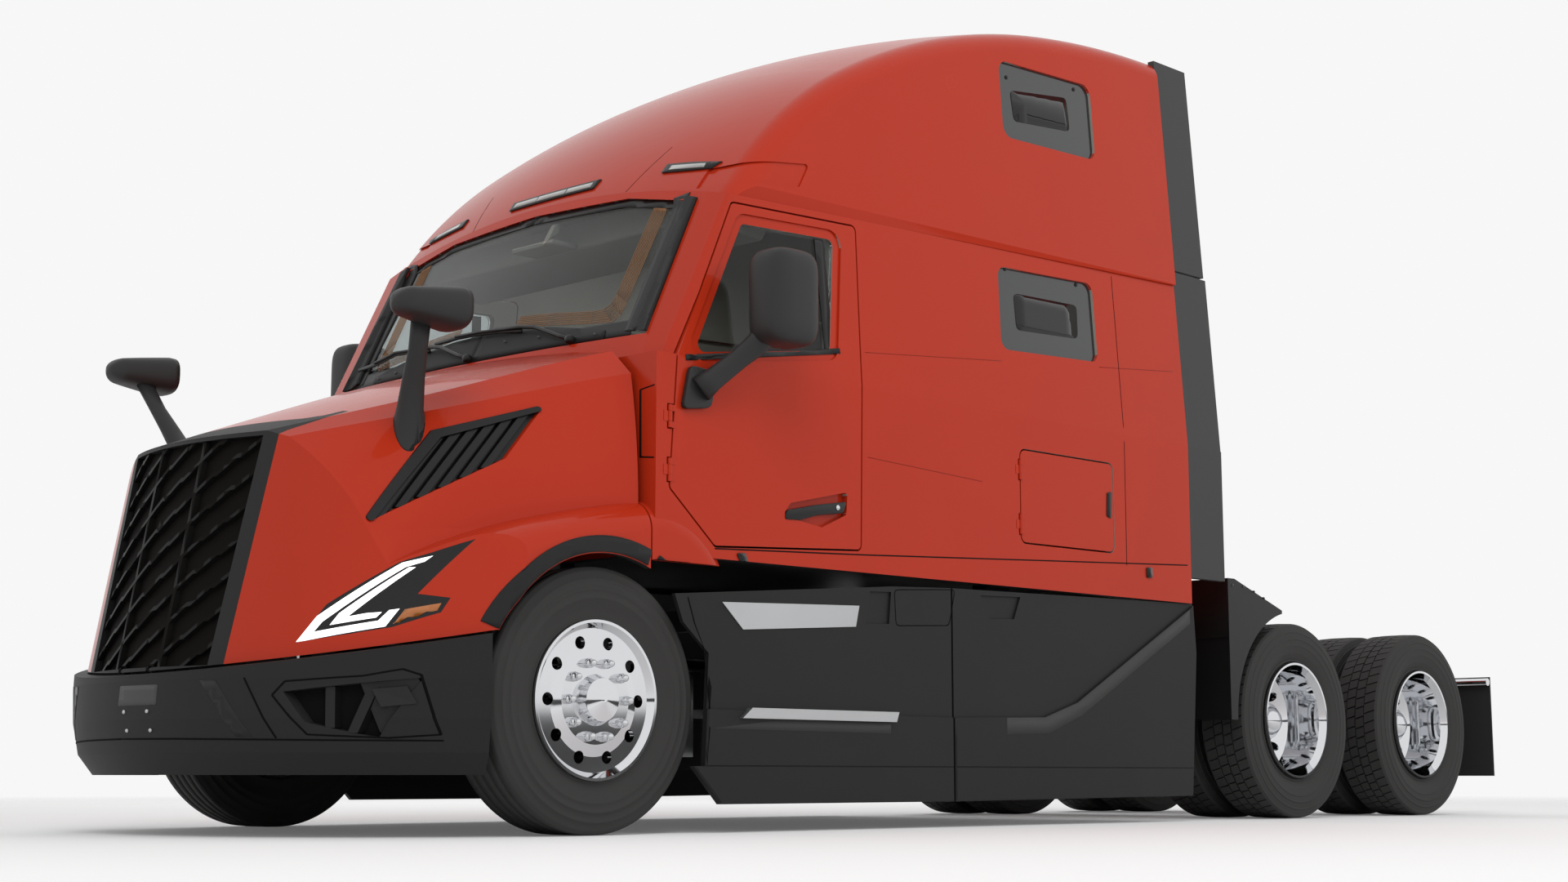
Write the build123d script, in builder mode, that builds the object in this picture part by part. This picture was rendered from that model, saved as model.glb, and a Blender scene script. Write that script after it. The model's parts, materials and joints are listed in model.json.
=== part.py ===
from build123d import *
import os
from math import asin, atan2, cos, degrees, radians, sin, sqrt, tan

# Long-haul tractor unit, 6x4, high-roof sleeper cab.  Millimetres.
# +X is the driver's side (left), -Y is the front, +Z is up.
# The origin is on the ground, on the centreline, in the middle of the overall length.
# Every sketch is drawn in one of three datum planes whose own zero is the front axle,
# so a "station" below always means the distance behind the front axle.

# ---------------------------------------------------------------- driving sizes
FRONT_OVERHANG = 1300.0
WHEELBASE = 5480.0            # front axle to the middle of the tandem
TANDEM_SPACING = 1320.0
REAR_OVERHANG = 840.0         # rearmost axle to the back of the mud flaps
CAB_HALF_WIDTH = 1240.0
OVERALL_HEIGHT = 3975.0
FRAME_TOP = 990.0
FRAME_HALF_WIDTH = 432.0      # outer face of each rail

PANEL_GAP = 8.0               # between a moving panel and its neighbour
SEAT_GAP = 0.3                # between pieces that are seated on each other
SHAFT_CLEARANCE = 0.08        # radial, of a shaft that turns in its hole

REAR_AXLES = (WHEELBASE - TANDEM_SPACING / 2, WHEELBASE + TANDEM_SPACING / 2)
FRONT_Y = -FRONT_OVERHANG
REAR_Y = REAR_AXLES[1] + REAR_OVERHANG
FRONT_AXLE_Y = FRONT_OVERHANG - (REAR_Y - FRONT_Y) / 2

# Tyres and wheels
STEER_TYRE_R = 498.0
DRIVE_TYRE_R = 508.0
TYRE_WIDTH = 285.0
RIM_R = 299.0                 # outer lip
STEER_TYRE_X = 1038.0         # middle of the steer tyre
OUTER_TYRE_X = 1068.0         # middle of the outer drive tyre
DUAL_SPACING = 345.0
SPINDLE_R = 45.0
HAND_HOLE_R = 24.0
HAND_HOLES = 10
HAND_HOLE_RING = 222.0
KINGPIN_X = 890.0

# Body
WALL = 60.0                   # cab wall and door thickness
HOOD_WALL = 30.0
GLASS_T = 12.0
GLASS_DEPTH = 14.0            # glass lies this far behind the skin
SILL_Z = 1062.0
FLOOR_TOP = 1225.0
FLOOR_T = 60.0
BELT_Z = 1850.0
CAB_BACK = 3820.0
FIREWALL = 245.0
HOOD_BACK = 215.0
ROOF_SPLIT_Z = 2700.0         # lip of the roof fairing at the centre of the windshield
ROOF_SPLIT_DROP = 160.0       # how much lower the lip is at the side
ROOF_SPLIT_RISE = 0.037       # rise of the lip towards the back
ROOF_LIP = 14.0

# Nose, shared by the hood, the grille and the bumper
NOSE_R = 1350.0
NOSE_Y = -1245.0              # foremost point at NOSE_Z
NOSE_Z = 610.0
NOSE_RAKE = 0.186
ARCH_R = 545.0
FENDER_EDGE_R = 120.0         # rounding along the flare's outer edge
FENDER_X = 1225.0
FENDER_INNER_X = 700.0
COWL_FRONT = HOOD_BACK + PANEL_GAP


# ---------------------------------------------------------------- datum planes
def side(x=0.0):
    """Side view: sketch X is the station, sketch Y is the height, normal +X."""
    return Plane(origin=(x, FRONT_AXLE_Y, 0), x_dir=(0, 1, 0), z_dir=(1, 0, 0))


def plan(z=0.0):
    """Plan view: sketch X is the width, sketch Y is the station, normal +Z."""
    return Plane(origin=(0, FRONT_AXLE_Y, z), x_dir=(1, 0, 0), z_dir=(0, 0, 1))


def front(station=0.0):
    """Front view: sketch X is the width, sketch Y is the height, normal -Y."""
    return Plane(origin=(0, FRONT_AXLE_Y + station, 0), x_dir=(1, 0, 0), z_dir=(0, -1, 0))


def save(piece, name):
    """Label a finished piece and write it as its own STEP file."""
    piece.part.label = name
    export_step(piece.part, "parts/" + name + ".step")


def mirrored(points):
    """A half outline from the centreline outwards, closed by its own mirror image."""
    return points + [(-x, z) for x, z in reversed(points) if x]


# ---------------------------------------------------------------- cab forms
# Side planes of the cab.  columns: half width at the back, taper per mm forward, lean per mm up,
# and the height where the half width is measured
SIDE_PLANES = [
    (CAB_HALF_WIDTH, 0.007, 0.0, BELT_Z),
    (CAB_HALF_WIDTH, 0.007, 0.072, BELT_Z),
]
# Windshield and pillars in plan at PILLAR_Z; the whole outline leans back by PILLAR_RAKE
PILLAR_Z = 1930.0
PILLAR_RAKE = 0.49
GLASS_FRONT = 265.0           # station of the windshield at the centre
PILLAR_FRONT = (1052.0, 345.0)
PILLAR_REAR = (1150.0, 365.0)
PILLAR_SIDE = (1260.0, 425.0)
COWL_Z = 1780.0
# Roof crest on the centreline: arcs that run on from each other.  columns: station, slope in degrees
ROOF_START = (490.0, 2396.0)
ROOF_SLOPES = [(ROOF_START[0], 64.0), (1450.0, 29.0), (2850.0, 9.5), (CAB_BACK + 200, -1.5)]
ROOF_CROWN_R = 5200.0
ROOF_EDGE_R = 110.0           # rounding where roof and sides meet


def side_cut(solid, inset, grow=0.0):
    """Trim a solid to the cab's side planes and back wall, moved inwards by inset."""
    with BuildPart() as body:
        add(solid)
        for half_width, taper, lean, height in SIDE_PLANES:
            for sign in (1, -1):
                at = (sign * (half_width + grow - inset), FRONT_AXLE_Y + CAB_BACK, height)
                face = Plane(origin=at, z_dir=(sign, -taper, lean))
                split(bisect_by=face, keep=Keep.BOTTOM)
        split(bisect_by=Plane(origin=(0, FRONT_AXLE_Y + CAB_BACK - inset, 0), z_dir=(0, 1, 0)),
              keep=Keep.BOTTOM)
    return body.part


def greenhouse(inset, top=4200.0, grow=0.0):
    """Windshield, pillars and upper sides up to the given height, shrunk inwards by inset."""
    (px, py), (rx, ry), (sx, sy) = PILLAR_FRONT, PILLAR_REAR, PILLAR_SIDE
    back = (COWL_Z - PILLAR_Z) * PILLAR_RAKE + inset - grow
    with BuildPart() as body:
        with BuildSketch(plan(COWL_Z)):
            with BuildLine():
                ThreePointArc((-px + inset, py + back), (0, GLASS_FRONT + back),
                              (px - inset, py + back))
                Polyline((px - inset, py + back), (rx - inset, ry + back), (sx - inset, sy + back),
                         (sx, CAB_BACK), (-sx, CAB_BACK), (-sx + inset, sy + back),
                         (-rx + inset, ry + back), (-px + inset, py + back))
            make_face()
        extrude(amount=top - COWL_Z, dir=(0, PILLAR_RAKE, 1))
        with BuildSketch(plan(COWL_Z)):
            with Locations((0, CAB_BACK - 700)):
                Rectangle(2 * sx - 2 * inset, 1400)
        extrude(amount=top - COWL_Z)
    return side_cut(body.part, inset, grow)


def lower_cab(inset, floor):
    """Cab body below the belt, from its floor up."""
    with BuildPart() as body:
        with BuildSketch(plan(floor)):
            with Locations((0, (FIREWALL + CAB_BACK + inset) / 2)):
                Rectangle(2 * CAB_HALF_WIDTH + 200, CAB_BACK - FIREWALL - inset)
        extrude(amount=BELT_Z - floor)
    return side_cut(body.part, inset)


def roof_line(inset):
    """Everything under the crowned roof crest, moved down by inset."""
    crown_z = OVERALL_HEIGHT - ROOF_CROWN_R
    start = (ROOF_START[0] + inset * 0.7, ROOF_START[1] - inset)
    with BuildPart() as body:
        with BuildSketch(side(0)):
            with BuildLine():
                at = start
                for (y0, slope0), (y1, slope1) in zip(ROOF_SLOPES[:-1], ROOF_SLOPES[1:]):
                    end = (at[0] + y1 - y0, at[1] + (y1 - y0) * tan(radians((slope0 + slope1) / 2)))
                    TangentArc(at, end, tangent=(cos(radians(slope0)), sin(radians(slope0))))
                    at = end
                Polyline(at, (at[0], COWL_Z), (start[0], COWL_Z), start)
            make_face()
        axis = Axis((0, 0, crown_z), (0, 1, 0))
        revolve(axis=axis, revolution_arc=34)
    tilt = Rot(0, -17, 0)
    return Pos(0, 0, crown_z) * tilt * Pos(0, 0, -crown_z) * body.part


def roof(inset):
    """Roof fairing: the greenhouse carried up to the crowned crest, with its overhanging lip."""
    with BuildPart() as body:
        add(side_cut(roof_line(inset), inset, ROOF_LIP))
        crest = [e for e in body.edges() if e.center().Z > 2800 and abs(e.center().X) > 950
                 and e.bounding_box().size.Y > 100]
        fillet(crest, ROOF_EDGE_R - inset)
        add(greenhouse(inset, 4200.0, ROOF_LIP), mode=Mode.INTERSECT)
    return body.part


def below_split(offset):
    """Everything under the roof's lip line, moved up by offset."""
    reach = 1500.0
    sag = ROOF_SPLIT_DROP * (reach / CAB_HALF_WIDTH) ** 2
    start = -300.0
    length = 5200.0
    low = ROOF_SPLIT_Z + offset + (start - ROOF_START[0]) * ROOF_SPLIT_RISE
    with BuildPart() as block:
        with BuildSketch(front(start)) as outline:
            with BuildLine():
                ThreePointArc((-reach, low - sag), (0, low), (reach, low - sag))
                Polyline((reach, low - sag), (reach, 0), (-reach, 0), (-reach, low - sag))
            make_face()
        extrude(amount=length, dir=(0, 1, ROOF_SPLIT_RISE))
    return block.part


# ---------------------------------------------------------------- hood forms
# Crest of the wheel-arch flare, side view: arcs that run on from each other.  columns: station, height
FENDER_LINE = [(-1300.0, 600.0), (-300.0, 1158.0), (HOOD_BACK, 1264.0), (640.0, 1065.0)]
FENDER_SLOPE = 44.0           # of the crest at its front end, in degrees
# Bonnet frames.  columns: station, base x, waist x, z, shoulder x, z, crown edge x, z, crown z
HOOD_BASE_Z = 560.0
FENDER_BASE_Z = 430.0
HOOD_FRAMES = [
    (-1320.0, 1010.0, 850.0, 1040.0, 470.0, 1330.0, 420.0, 1362.0, 1385.0),
    (-900.0, 1110.0, 860.0, 1080.0, 590.0, 1470.0, 500.0, 1512.0, 1548.0),
    (-580.0, 1150.0, 950.0, 1110.0, 770.0, 1555.0, 660.0, 1612.0, 1668.0),
    (-200.0, 1165.0, 1050.0, 1140.0, 940.0, 1660.0, 830.0, 1740.0, 1805.0),
    (HOOD_BACK, 1185.0, 1150.0, 1160.0, 1100.0, 1770.0, 990.0, 1872.0, 1935.0),
]
HOOD_CHEEK = 14.0             # how far the side between waist and shoulder bows outwards


def bonnet(inset):
    """Hood body without its fenders, cut to the raked nose."""
    with BuildPart() as body:
        for station, bx, wx, wz, sx, sz, ex, ez, crown in HOOD_FRAMES:
            edge = (ex - inset * 0.5, ez - inset)
            shoulder = (sx - inset, sz - inset * 0.6)
            waist = (wx - inset, wz)
            cheek = ((sx + wx) / 2 - inset + HOOD_CHEEK, (sz + wz) / 2 - inset * 0.3 + HOOD_CHEEK)
            with BuildSketch(front(station)):
                with BuildLine():
                    ThreePointArc((-edge[0], edge[1]), (0, crown - inset), edge)
                    Line(edge, shoulder)
                    ThreePointArc(shoulder, cheek, waist)
                    Polyline(waist, (bx - inset, HOOD_BASE_Z), (-bx + inset, HOOD_BASE_Z), (-waist[0], waist[1]))
                    ThreePointArc((-waist[0], waist[1]), (-cheek[0], cheek[1]), (-shoulder[0], shoulder[1]))
                    Line((-shoulder[0], shoulder[1]), (-edge[0], edge[1]))
                make_face()
        loft()
    return body.part & nose_block(inset, HOOD_BASE_Z, 2100.0, HOOD_BACK)


def nose_block(inset, low, high, back):
    """Everything behind the raked, rounded nose."""
    reach = 1320.0
    sagitta = NOSE_R - sqrt(NOSE_R ** 2 - reach ** 2)
    y_low = NOSE_Y + inset + (low - NOSE_Z) * NOSE_RAKE
    with BuildPart() as block:
        with BuildSketch(plan(low)):
            with BuildLine():
                ThreePointArc((-reach, y_low + sagitta), (0, y_low), (reach, y_low + sagitta))
                Polyline((reach, y_low + sagitta), (reach, back + 900), (-reach, back + 900),
                         (-reach, y_low + sagitta))
            make_face()
        extrude(amount=high - low, dir=(0, NOSE_RAKE, 1))
        with BuildSketch(plan(low)):
            with Locations((0, back + 2000)):
                Rectangle(4000, 4000)
        extrude(amount=high - low, mode=Mode.SUBTRACT)
    return block.part


def fender(inset, back):
    """Both wheel-arch flares, from the nose to the given station behind the wheel."""
    outer = FENDER_X - inset
    with BuildPart() as flare:
        with BuildSketch(side(-outer)):
            with BuildLine():
                at, slope = (FENDER_LINE[0][0], FENDER_LINE[0][1] - inset), FENDER_SLOPE
                for station, height in FENDER_LINE[1:]:
                    end = (station, height - inset)
                    TangentArc(at, end, tangent=(cos(radians(slope)), sin(radians(slope))))
                    slope = 2 * degrees(atan2(end[1] - at[1], end[0] - at[0])) - slope
                    at = end
                Polyline(at, (at[0], FENDER_BASE_Z), (FENDER_LINE[0][0], FENDER_BASE_Z),
                         (FENDER_LINE[0][0], FENDER_LINE[0][1] - inset))
            make_face()
        extrude(amount=2 * outer)
        for sign in (1, -1):
            crest = flare.edges().filter_by(GeomType.CIRCLE).filter_by(lambda e: e.center().X * sign > outer - 1)
            fillet(crest, FENDER_EDGE_R - inset)
        with BuildSketch(side(-outer)):
            with Locations((back + 2000, 0)):
                Rectangle(4000, 6000)
        extrude(amount=2 * outer, mode=Mode.SUBTRACT)
        with BuildSketch(side(-FENDER_INNER_X)):
            Rectangle(6000, 6000)
        extrude(amount=2 * FENDER_INNER_X, mode=Mode.SUBTRACT)
    return flare.part


def wheel_well(radius):
    """The round space cut through both fenders."""
    with BuildPart() as well:
        with BuildSketch(side(-1400)):
            with Locations((0, STEER_TYRE_R)):
                Circle(radius)
            with Locations((0, 0)):
                Rectangle(2 * radius, 2 * STEER_TYRE_R)
        extrude(amount=2800)
        with BuildSketch(side(-700)):
            Rectangle(2000, 4000)
        extrude(amount=1400, mode=Mode.SUBTRACT)
    return well.part


def block(x0, x1, y0, y1, z0, z1):
    """A plain box between two widths, two stations and two heights."""
    with BuildPart() as box:
        with BuildSketch(plan(z0)):
            with Locations(((x0 + x1) / 2, (y0 + y1) / 2)):
                Rectangle(abs(x1 - x0), abs(y1 - y0))
        extrude(amount=z1 - z0)
    return box.part


def cross_tube(radius, x0, x1, station, height):
    """A round bar that lies across the vehicle."""
    with BuildPart() as bar:
        with BuildSketch(side(x0)):
            with Locations((station, height)):
                Circle(radius)
        extrude(amount=x1 - x0)
    return bar.part


def place(part, sign):
    """The driver's side piece itself, or its mirror image on the other side."""
    return part if sign > 0 else part.mirror(Plane.YZ)


def upright(radius, x, station, z0, z1):
    """A round bar that stands upright."""
    with BuildPart() as bar:
        with BuildSketch(plan(z0)):
            with Locations((x, station)):
                Circle(radius)
        extrude(amount=z1 - z0)
    return bar.part


# Panel hinges: a pin on the moving panel turns in an eye on the fixed wall
HINGE_PIN_R = 5.0
HINGE_EYE_R = 9.0
HINGE_EYE_H = 20.0            # half height of the eye
HINGE_END_H = 24.0            # height of each end that carries the pin
HINGE_FACE_GAP = 1.0
HINGE_REACH = 32.0            # how far the hinge's leaves run into the walls
HINGE_LEAF = 25.0
HINGE_CLEAR = 5.0
HINGE_PROUD = 2.0             # the pin's middle stands this far outside the skin


def hinge_fixed(x, station, height):
    """The eye, with its leaf running forward into the wall."""
    z0, z1 = height - HINGE_EYE_H, height + HINGE_EYE_H
    eye = upright(HINGE_EYE_R, x, station, z0, z1)
    eye += block(x - HINGE_LEAF, x, station - HINGE_REACH, station - PANEL_GAP / 2, z0, z1)
    return eye - upright(HINGE_PIN_R + SHAFT_CLEARANCE, x, station, z0, z1)


def hinge_moving(x, station, height):
    """Pin and ends, with their leaves running back into the panel."""
    near = HINGE_EYE_H + HINGE_FACE_GAP
    far = near + HINGE_END_H
    pin = upright(HINGE_PIN_R, x, station, height - far, height + far)
    for z0, z1 in ((height - far, height - near), (height + near, height + far)):
        pin += upright(HINGE_EYE_R, x, station, z0, z1)
        pin += block(x - HINGE_LEAF, x, station + PANEL_GAP / 2, station + HINGE_REACH, z0, z1)
    return pin


def hinge_pocket(x, station, height):
    """Room in the fixed wall round the moving ends and their leaves."""
    far = HINGE_EYE_H + HINGE_FACE_GAP + HINGE_END_H + HINGE_CLEAR
    room = upright(HINGE_EYE_R + HINGE_CLEAR, x, station, height - far, height + far)
    return room + block(x - HINGE_LEAF - HINGE_CLEAR, x + HINGE_LEAF, station,
                        station + HINGE_REACH + HINGE_CLEAR, height - far, height + far)


def hinge_notch(x, station, height):
    """Room in the moving panel round the fixed eye."""
    half = HINGE_EYE_H + HINGE_CLEAR
    return upright(HINGE_EYE_R + HINGE_CLEAR, x, station, height - half, height + half)


def side_prism(points, x_in, x_out, shrink=0.0, radius=0.0):
    """A side-view outline pushed through both sides of the body between two widths."""
    with BuildPart() as prism:
        with BuildSketch(side(-x_out)) as outline:
            with BuildLine():
                Polyline(*points, close=True)
            make_face()
            if shrink:
                offset(amount=-shrink, kind=Kind.INTERSECTION)
            if radius:
                fillet(outline.vertices(), radius - shrink)
        extrude(amount=2 * x_out)
        with BuildSketch(side(-x_in)):
            Rectangle(9000, 9000)
        extrude(amount=2 * x_in, mode=Mode.SUBTRACT)
    return prism.part


def front_prism(points, start, length, shrink=0.0, radius=0.0, both=False):
    """A front-view outline pushed backwards from a station; both adds its mirror image."""
    with BuildPart() as prism:
        with BuildSketch(front(start + length)) as outline:
            with BuildLine():
                Polyline(*points, close=True)
            make_face()
            if shrink:
                offset(amount=-shrink, kind=Kind.INTERSECTION)
            if radius:
                fillet(outline.vertices(), radius)
            if both:
                mirror(about=Plane.YZ)
        extrude(amount=length)
    return prism.part


def between(start, end, share):
    """The point part of the way from one point to another."""
    return (start[0] + (end[0] - start[0]) * share, start[1] + (end[1] - start[1]) * share)


def slanted_bars(lower, upper, shares, width):
    """Outlines of bars that run from a lower edge to an upper edge at each share of their length."""
    bars = []
    for share in shares:
        (x0, z0), (x1, z1) = between(*lower, share), between(*upper, share)
        bars.append([(x0 - width / 2, z0), (x0 + width / 2, z0), (x1 + width / 2, z1), (x1 - width / 2, z1)])
    return bars


def bars_prism(plane, outlines, length):
    """Several outlines on one plane, pushed the same way."""
    with BuildPart() as prism:
        with BuildSketch(plane):
            for outline in outlines:
                with BuildLine():
                    Polyline(*outline, close=True)
                make_face()
        extrude(amount=length)
    return prism.part


def left_half():
    """Everything on the driver's side of the centreline."""
    with BuildPart() as block:
        with BuildSketch(plan(-100)):
            with Locations((2500, 2500)):
                Rectangle(5000, 12000)
        extrude(amount=6000)
    return block.part


LEFT = left_half()
RIGHT = LEFT.mirror(Plane.YZ)

# ---------------------------------------------------------------- cab
# Side-view outlines.  columns: station, height
DOOR = [(560.0, 1105.0), (1412.0, 1150.0), (1425.0, 2000.0), (1440.0, 2566.0),
        (690.0, 2536.0), (350.0, 1850.0), (312.0, 1320.0)]
DOOR_WINDOW = [(452.0, 1872.0), (1240.0, 1985.0), (1298.0, 2478.0), (752.0, 2452.0)]
SLEEPER_WINDOW = [(2385.0, 2150.0), (3120.0, 2185.0), (3120.0, 2575.0), (2400.0, 2545.0)]
ROOF_WINDOW = [(2500.0, 3190.0), (3215.0, 3215.0), (3215.0, 3600.0), (2500.0, 3570.0)]
HANDLE_RECESS = [(940.0, 1262.0), (985.0, 1318.0), (1325.0, 1392.0), (1318.0, 1296.0), (1170.0, 1232.0)]
ROOF_PANEL = [(737.0, 2722.0), (1155.0, 2782.0), (1085.0, 2668.0), (690.0, 2622.0)]
BAGGAGE_DOOR = [(2475.0, 1262.0), (3190.0, 1265.0), (3190.0, 1700.0), (2475.0, 1700.0)]
# Front-view outline, upper half of the driver's side.  columns: x, height
WINDSHIELD = [(0.0, 2665.0), (600.0, 2640.0), (948.0, 2570.0), (1030.0, 1960.0)]
WINDOW_FRAME = 42.0           # width of the sunk frame round the door window
WINDOW_SUNK = 9.0
HANDLE_SUNK = 26.0
ROOF_PANEL_SUNK = 7.0
SKIN_OUT = 1300.0
SKIN_IN = 950.0
DOOR_SKIN_IN = 1100.0         # keeps the pillar's inner wall out of the door
DOOR_HINGE_Y = DOOR[-1][0] + PANEL_GAP / 2
BAGGAGE_HINGE_Y = BAGGAGE_DOOR[0][0] + PANEL_GAP / 2
DOOR_HINGES = (1390.0, 1600.0)
BAGGAGE_HINGES = (1350.0, 1600.0)


def hinge_x(station):
    """Width of a hinge pin on the cab's side below the belt."""
    return CAB_HALF_WIDTH - (CAB_BACK - station) * SIDE_PLANES[0][1] + HINGE_PROUD


DOOR_BACKLASH = 8.0           # between a door's inner face and what is behind it


def under_floor():
    """The open underside of the cab between its sills."""
    with BuildPart() as block:
        with BuildSketch(plan(0)):
            with Locations((0, (FIREWALL + CAB_BACK) / 2)):
                Rectangle(3000, CAB_BACK - FIREWALL - 2 * WALL)
        extrude(amount=FLOOR_TOP - FLOOR_T)
    return block.part


cab_outer = below_split(0) & (greenhouse(0) + lower_cab(0, SILL_Z))
cab_ring = cab_outer - greenhouse(WALL) - lower_cab(WALL, 0)
cab_thick_ring = cab_outer - greenhouse(WALL + DOOR_BACKLASH) - lower_cab(WALL + DOOR_BACKLASH, 0)
glass_skin = greenhouse(GLASS_DEPTH) - greenhouse(GLASS_DEPTH + GLASS_T)
window_frame = ((cab_outer - greenhouse(WINDOW_SUNK) - lower_cab(WINDOW_SUNK, 0))
                & side_prism(DOOR_WINDOW, SKIN_IN, SKIN_OUT, -WINDOW_FRAME, 30.0))
handle_recess = side_prism(HANDLE_RECESS, hinge_x(HANDLE_RECESS[0][0]) - HANDLE_SUNK, SKIN_OUT, 0, 14.0)

with BuildPart() as cab_shell:
    add(cab_outer)
    add(greenhouse(WALL), mode=Mode.SUBTRACT)
    add(lower_cab(WALL, FLOOR_TOP), mode=Mode.SUBTRACT)
    add(lower_cab(WALL, SILL_Z) & under_floor(), mode=Mode.SUBTRACT)
    add(cab_thick_ring & side_prism(DOOR, SKIN_IN, SKIN_OUT, 0, 30.0), mode=Mode.SUBTRACT)
    add(cab_thick_ring & side_prism(BAGGAGE_DOOR, SKIN_IN, SKIN_OUT, 0, 40.0), mode=Mode.SUBTRACT)
    add(side_prism(SLEEPER_WINDOW, SKIN_IN, SKIN_OUT, 0, 50.0), mode=Mode.SUBTRACT)
    add(front_prism(mirrored(WINDSHIELD), -200, 1250), mode=Mode.SUBTRACT)
    for station, heights in ((DOOR_HINGE_Y, DOOR_HINGES), (BAGGAGE_HINGE_Y, BAGGAGE_HINGES)):
        for height in heights:
            for sign in (1, -1):
                spot = (hinge_x(station), station, height)
                add(place(hinge_pocket(*spot), sign), mode=Mode.SUBTRACT)
                add(place(hinge_fixed(*spot), sign))
save(cab_shell, "cab_shell")

for side_name, half, sign in (("left", LEFT, 1), ("right", RIGHT, -1)):
    with BuildPart() as cab_door:
        add(cab_ring & side_prism(DOOR, DOOR_SKIN_IN, SKIN_OUT, PANEL_GAP, 30.0) & half)
        add(side_prism(DOOR_WINDOW, SKIN_IN, SKIN_OUT, 0, 30.0), mode=Mode.SUBTRACT)
        add(window_frame, mode=Mode.SUBTRACT)
        add(handle_recess, mode=Mode.SUBTRACT)
        for height in DOOR_HINGES:
            spot = (hinge_x(DOOR_HINGE_Y), DOOR_HINGE_Y, height)
            add(place(hinge_notch(*spot), sign), mode=Mode.SUBTRACT)
            add(place(hinge_moving(*spot), sign))
    save(cab_door, "door_" + side_name)
    with BuildPart() as door_glass:
        add(glass_skin & side_prism(DOOR_WINDOW, SKIN_IN, SKIN_OUT, SEAT_GAP, 30.0) & half)
    save(door_glass, "door_glass_" + side_name)
    with BuildPart() as baggage_door:
        add(cab_ring & side_prism(BAGGAGE_DOOR, SKIN_IN, SKIN_OUT, PANEL_GAP, 40.0) & half)
        for height in BAGGAGE_HINGES:
            spot = (hinge_x(BAGGAGE_HINGE_Y), BAGGAGE_HINGE_Y, height)
            add(place(hinge_notch(*spot), sign), mode=Mode.SUBTRACT)
            add(place(hinge_moving(*spot), sign))
    save(baggage_door, "baggage_door_" + side_name)

with BuildPart() as windshield:
    add(glass_skin & front_prism(mirrored(WINDSHIELD), -200, 1250, SEAT_GAP))
save(windshield, "windshield")

with BuildPart() as sleeper_windows:
    add(glass_skin & side_prism(SLEEPER_WINDOW, SKIN_IN, SKIN_OUT, SEAT_GAP, 50.0))
    add((roof(GLASS_DEPTH) - roof(GLASS_DEPTH + GLASS_T))
        & side_prism(ROOF_WINDOW, SKIN_IN, SKIN_OUT, SEAT_GAP, 60.0))
save(sleeper_windows, "sleeper_windows")

with BuildPart() as roof_fairing:
    add(roof(0) - roof(WALL) - below_split(SEAT_GAP))
    add(side_prism(ROOF_WINDOW, SKIN_IN, SKIN_OUT, 0, 60.0), mode=Mode.SUBTRACT)
    add((roof(0) - roof(ROOF_PANEL_SUNK)) & side_prism(ROOF_PANEL, SKIN_IN, SKIN_OUT, 0, 12.0), mode=Mode.SUBTRACT)
save(roof_fairing, "roof_fairing")

# Fixed rear ends of the wheel-arch flares, behind the hood's rear edge
FENDER_TAIL = 600.0
COWL_BOTTOM = 1035.0
with BuildPart() as cowl_panels:
    add((fender(0, FENDER_TAIL) - fender(HOOD_WALL, FENDER_TAIL + 10)) & LEFT)
    add(wheel_well(ARCH_R), mode=Mode.SUBTRACT)
    with BuildSketch(side(-1400)):
        with Locations((COWL_FRONT - 3000, 0)):
            Rectangle(6000, 6000)
    extrude(amount=2800, mode=Mode.SUBTRACT)
    with BuildSketch(plan(0)):
        Rectangle(6000, 6000)
    extrude(amount=COWL_BOTTOM, mode=Mode.SUBTRACT)
    add(cab_outer, mode=Mode.SUBTRACT)
    add(side_prism(DOOR, SKIN_IN, SKIN_OUT, 0, 30.0), mode=Mode.SUBTRACT)
    mirror(about=Plane.YZ)
save(cowl_panels, "cowl_panels")

# ---------------------------------------------------------------- hood
# Front-view outlines of the driver's side.  columns: x, height
GRILLE = [(403.0, 612.0), (446.0, 1462.0)]
SURROUND = [(470.0, 592.0), (500.0, 1240.0), (512.0, 1480.0), (540.0, 1530.0), (575.0, 1590.0),
            (560.0, 1604.0), (500.0, 1556.0), (440.0, 1545.0)]
SURROUND_REACH = 680.0        # how far back its tails run from in front of the nose
# Lattice in front of the mesh: stepped bars that climb to the driver's side, tied by two upright bars
LATTICE_PITCH = 122.0
LATTICE_BAR = 17.0
LATTICE_COLUMN = 298.0
LATTICE_FACE = 6.0            # depth of its front behind the nose
# One column of a stepped bar.  columns: distance across, rise
LATTICE_STEPS = [(0.0, 0.0), (86.0, 62.0), (104.0, 64.0), (190.0, 126.0), (208.0, 128.0)]
LATTICE_RISE = 192.0          # rise of one whole column
HEADLAMP = [(719.0, 687.0), (879.0, 717.0), (981.0, 740.0), (1085.0, 794.0), (1100.0, 847.0),
            (1027.0, 860.0), (1130.0, 1062.0), (1043.0, 1010.0), (972.0, 975.0), (793.0, 823.0)]
# Side-view outline of the hood vent.  columns: station, height
VENT = [(-870.0, 1100.0), (-300.0, 1395.0), (-120.0, 1620.0), (-540.0, 1490.0)]
LAMP_DEPTH = 70.0
GRILLE_DEPTH = 28.0
HOOD_LOWER_EDGE = [(-1260.0, 596.0), (-500.0, 735.0)]   # station, height of the seam on the bumper


def hood_form(inset):
    """Bonnet and flares together."""
    return bonnet(inset) + (fender(inset, HOOD_BACK) & nose_block(inset, HOOD_BASE_Z, 2100.0, HOOD_BACK))


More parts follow.
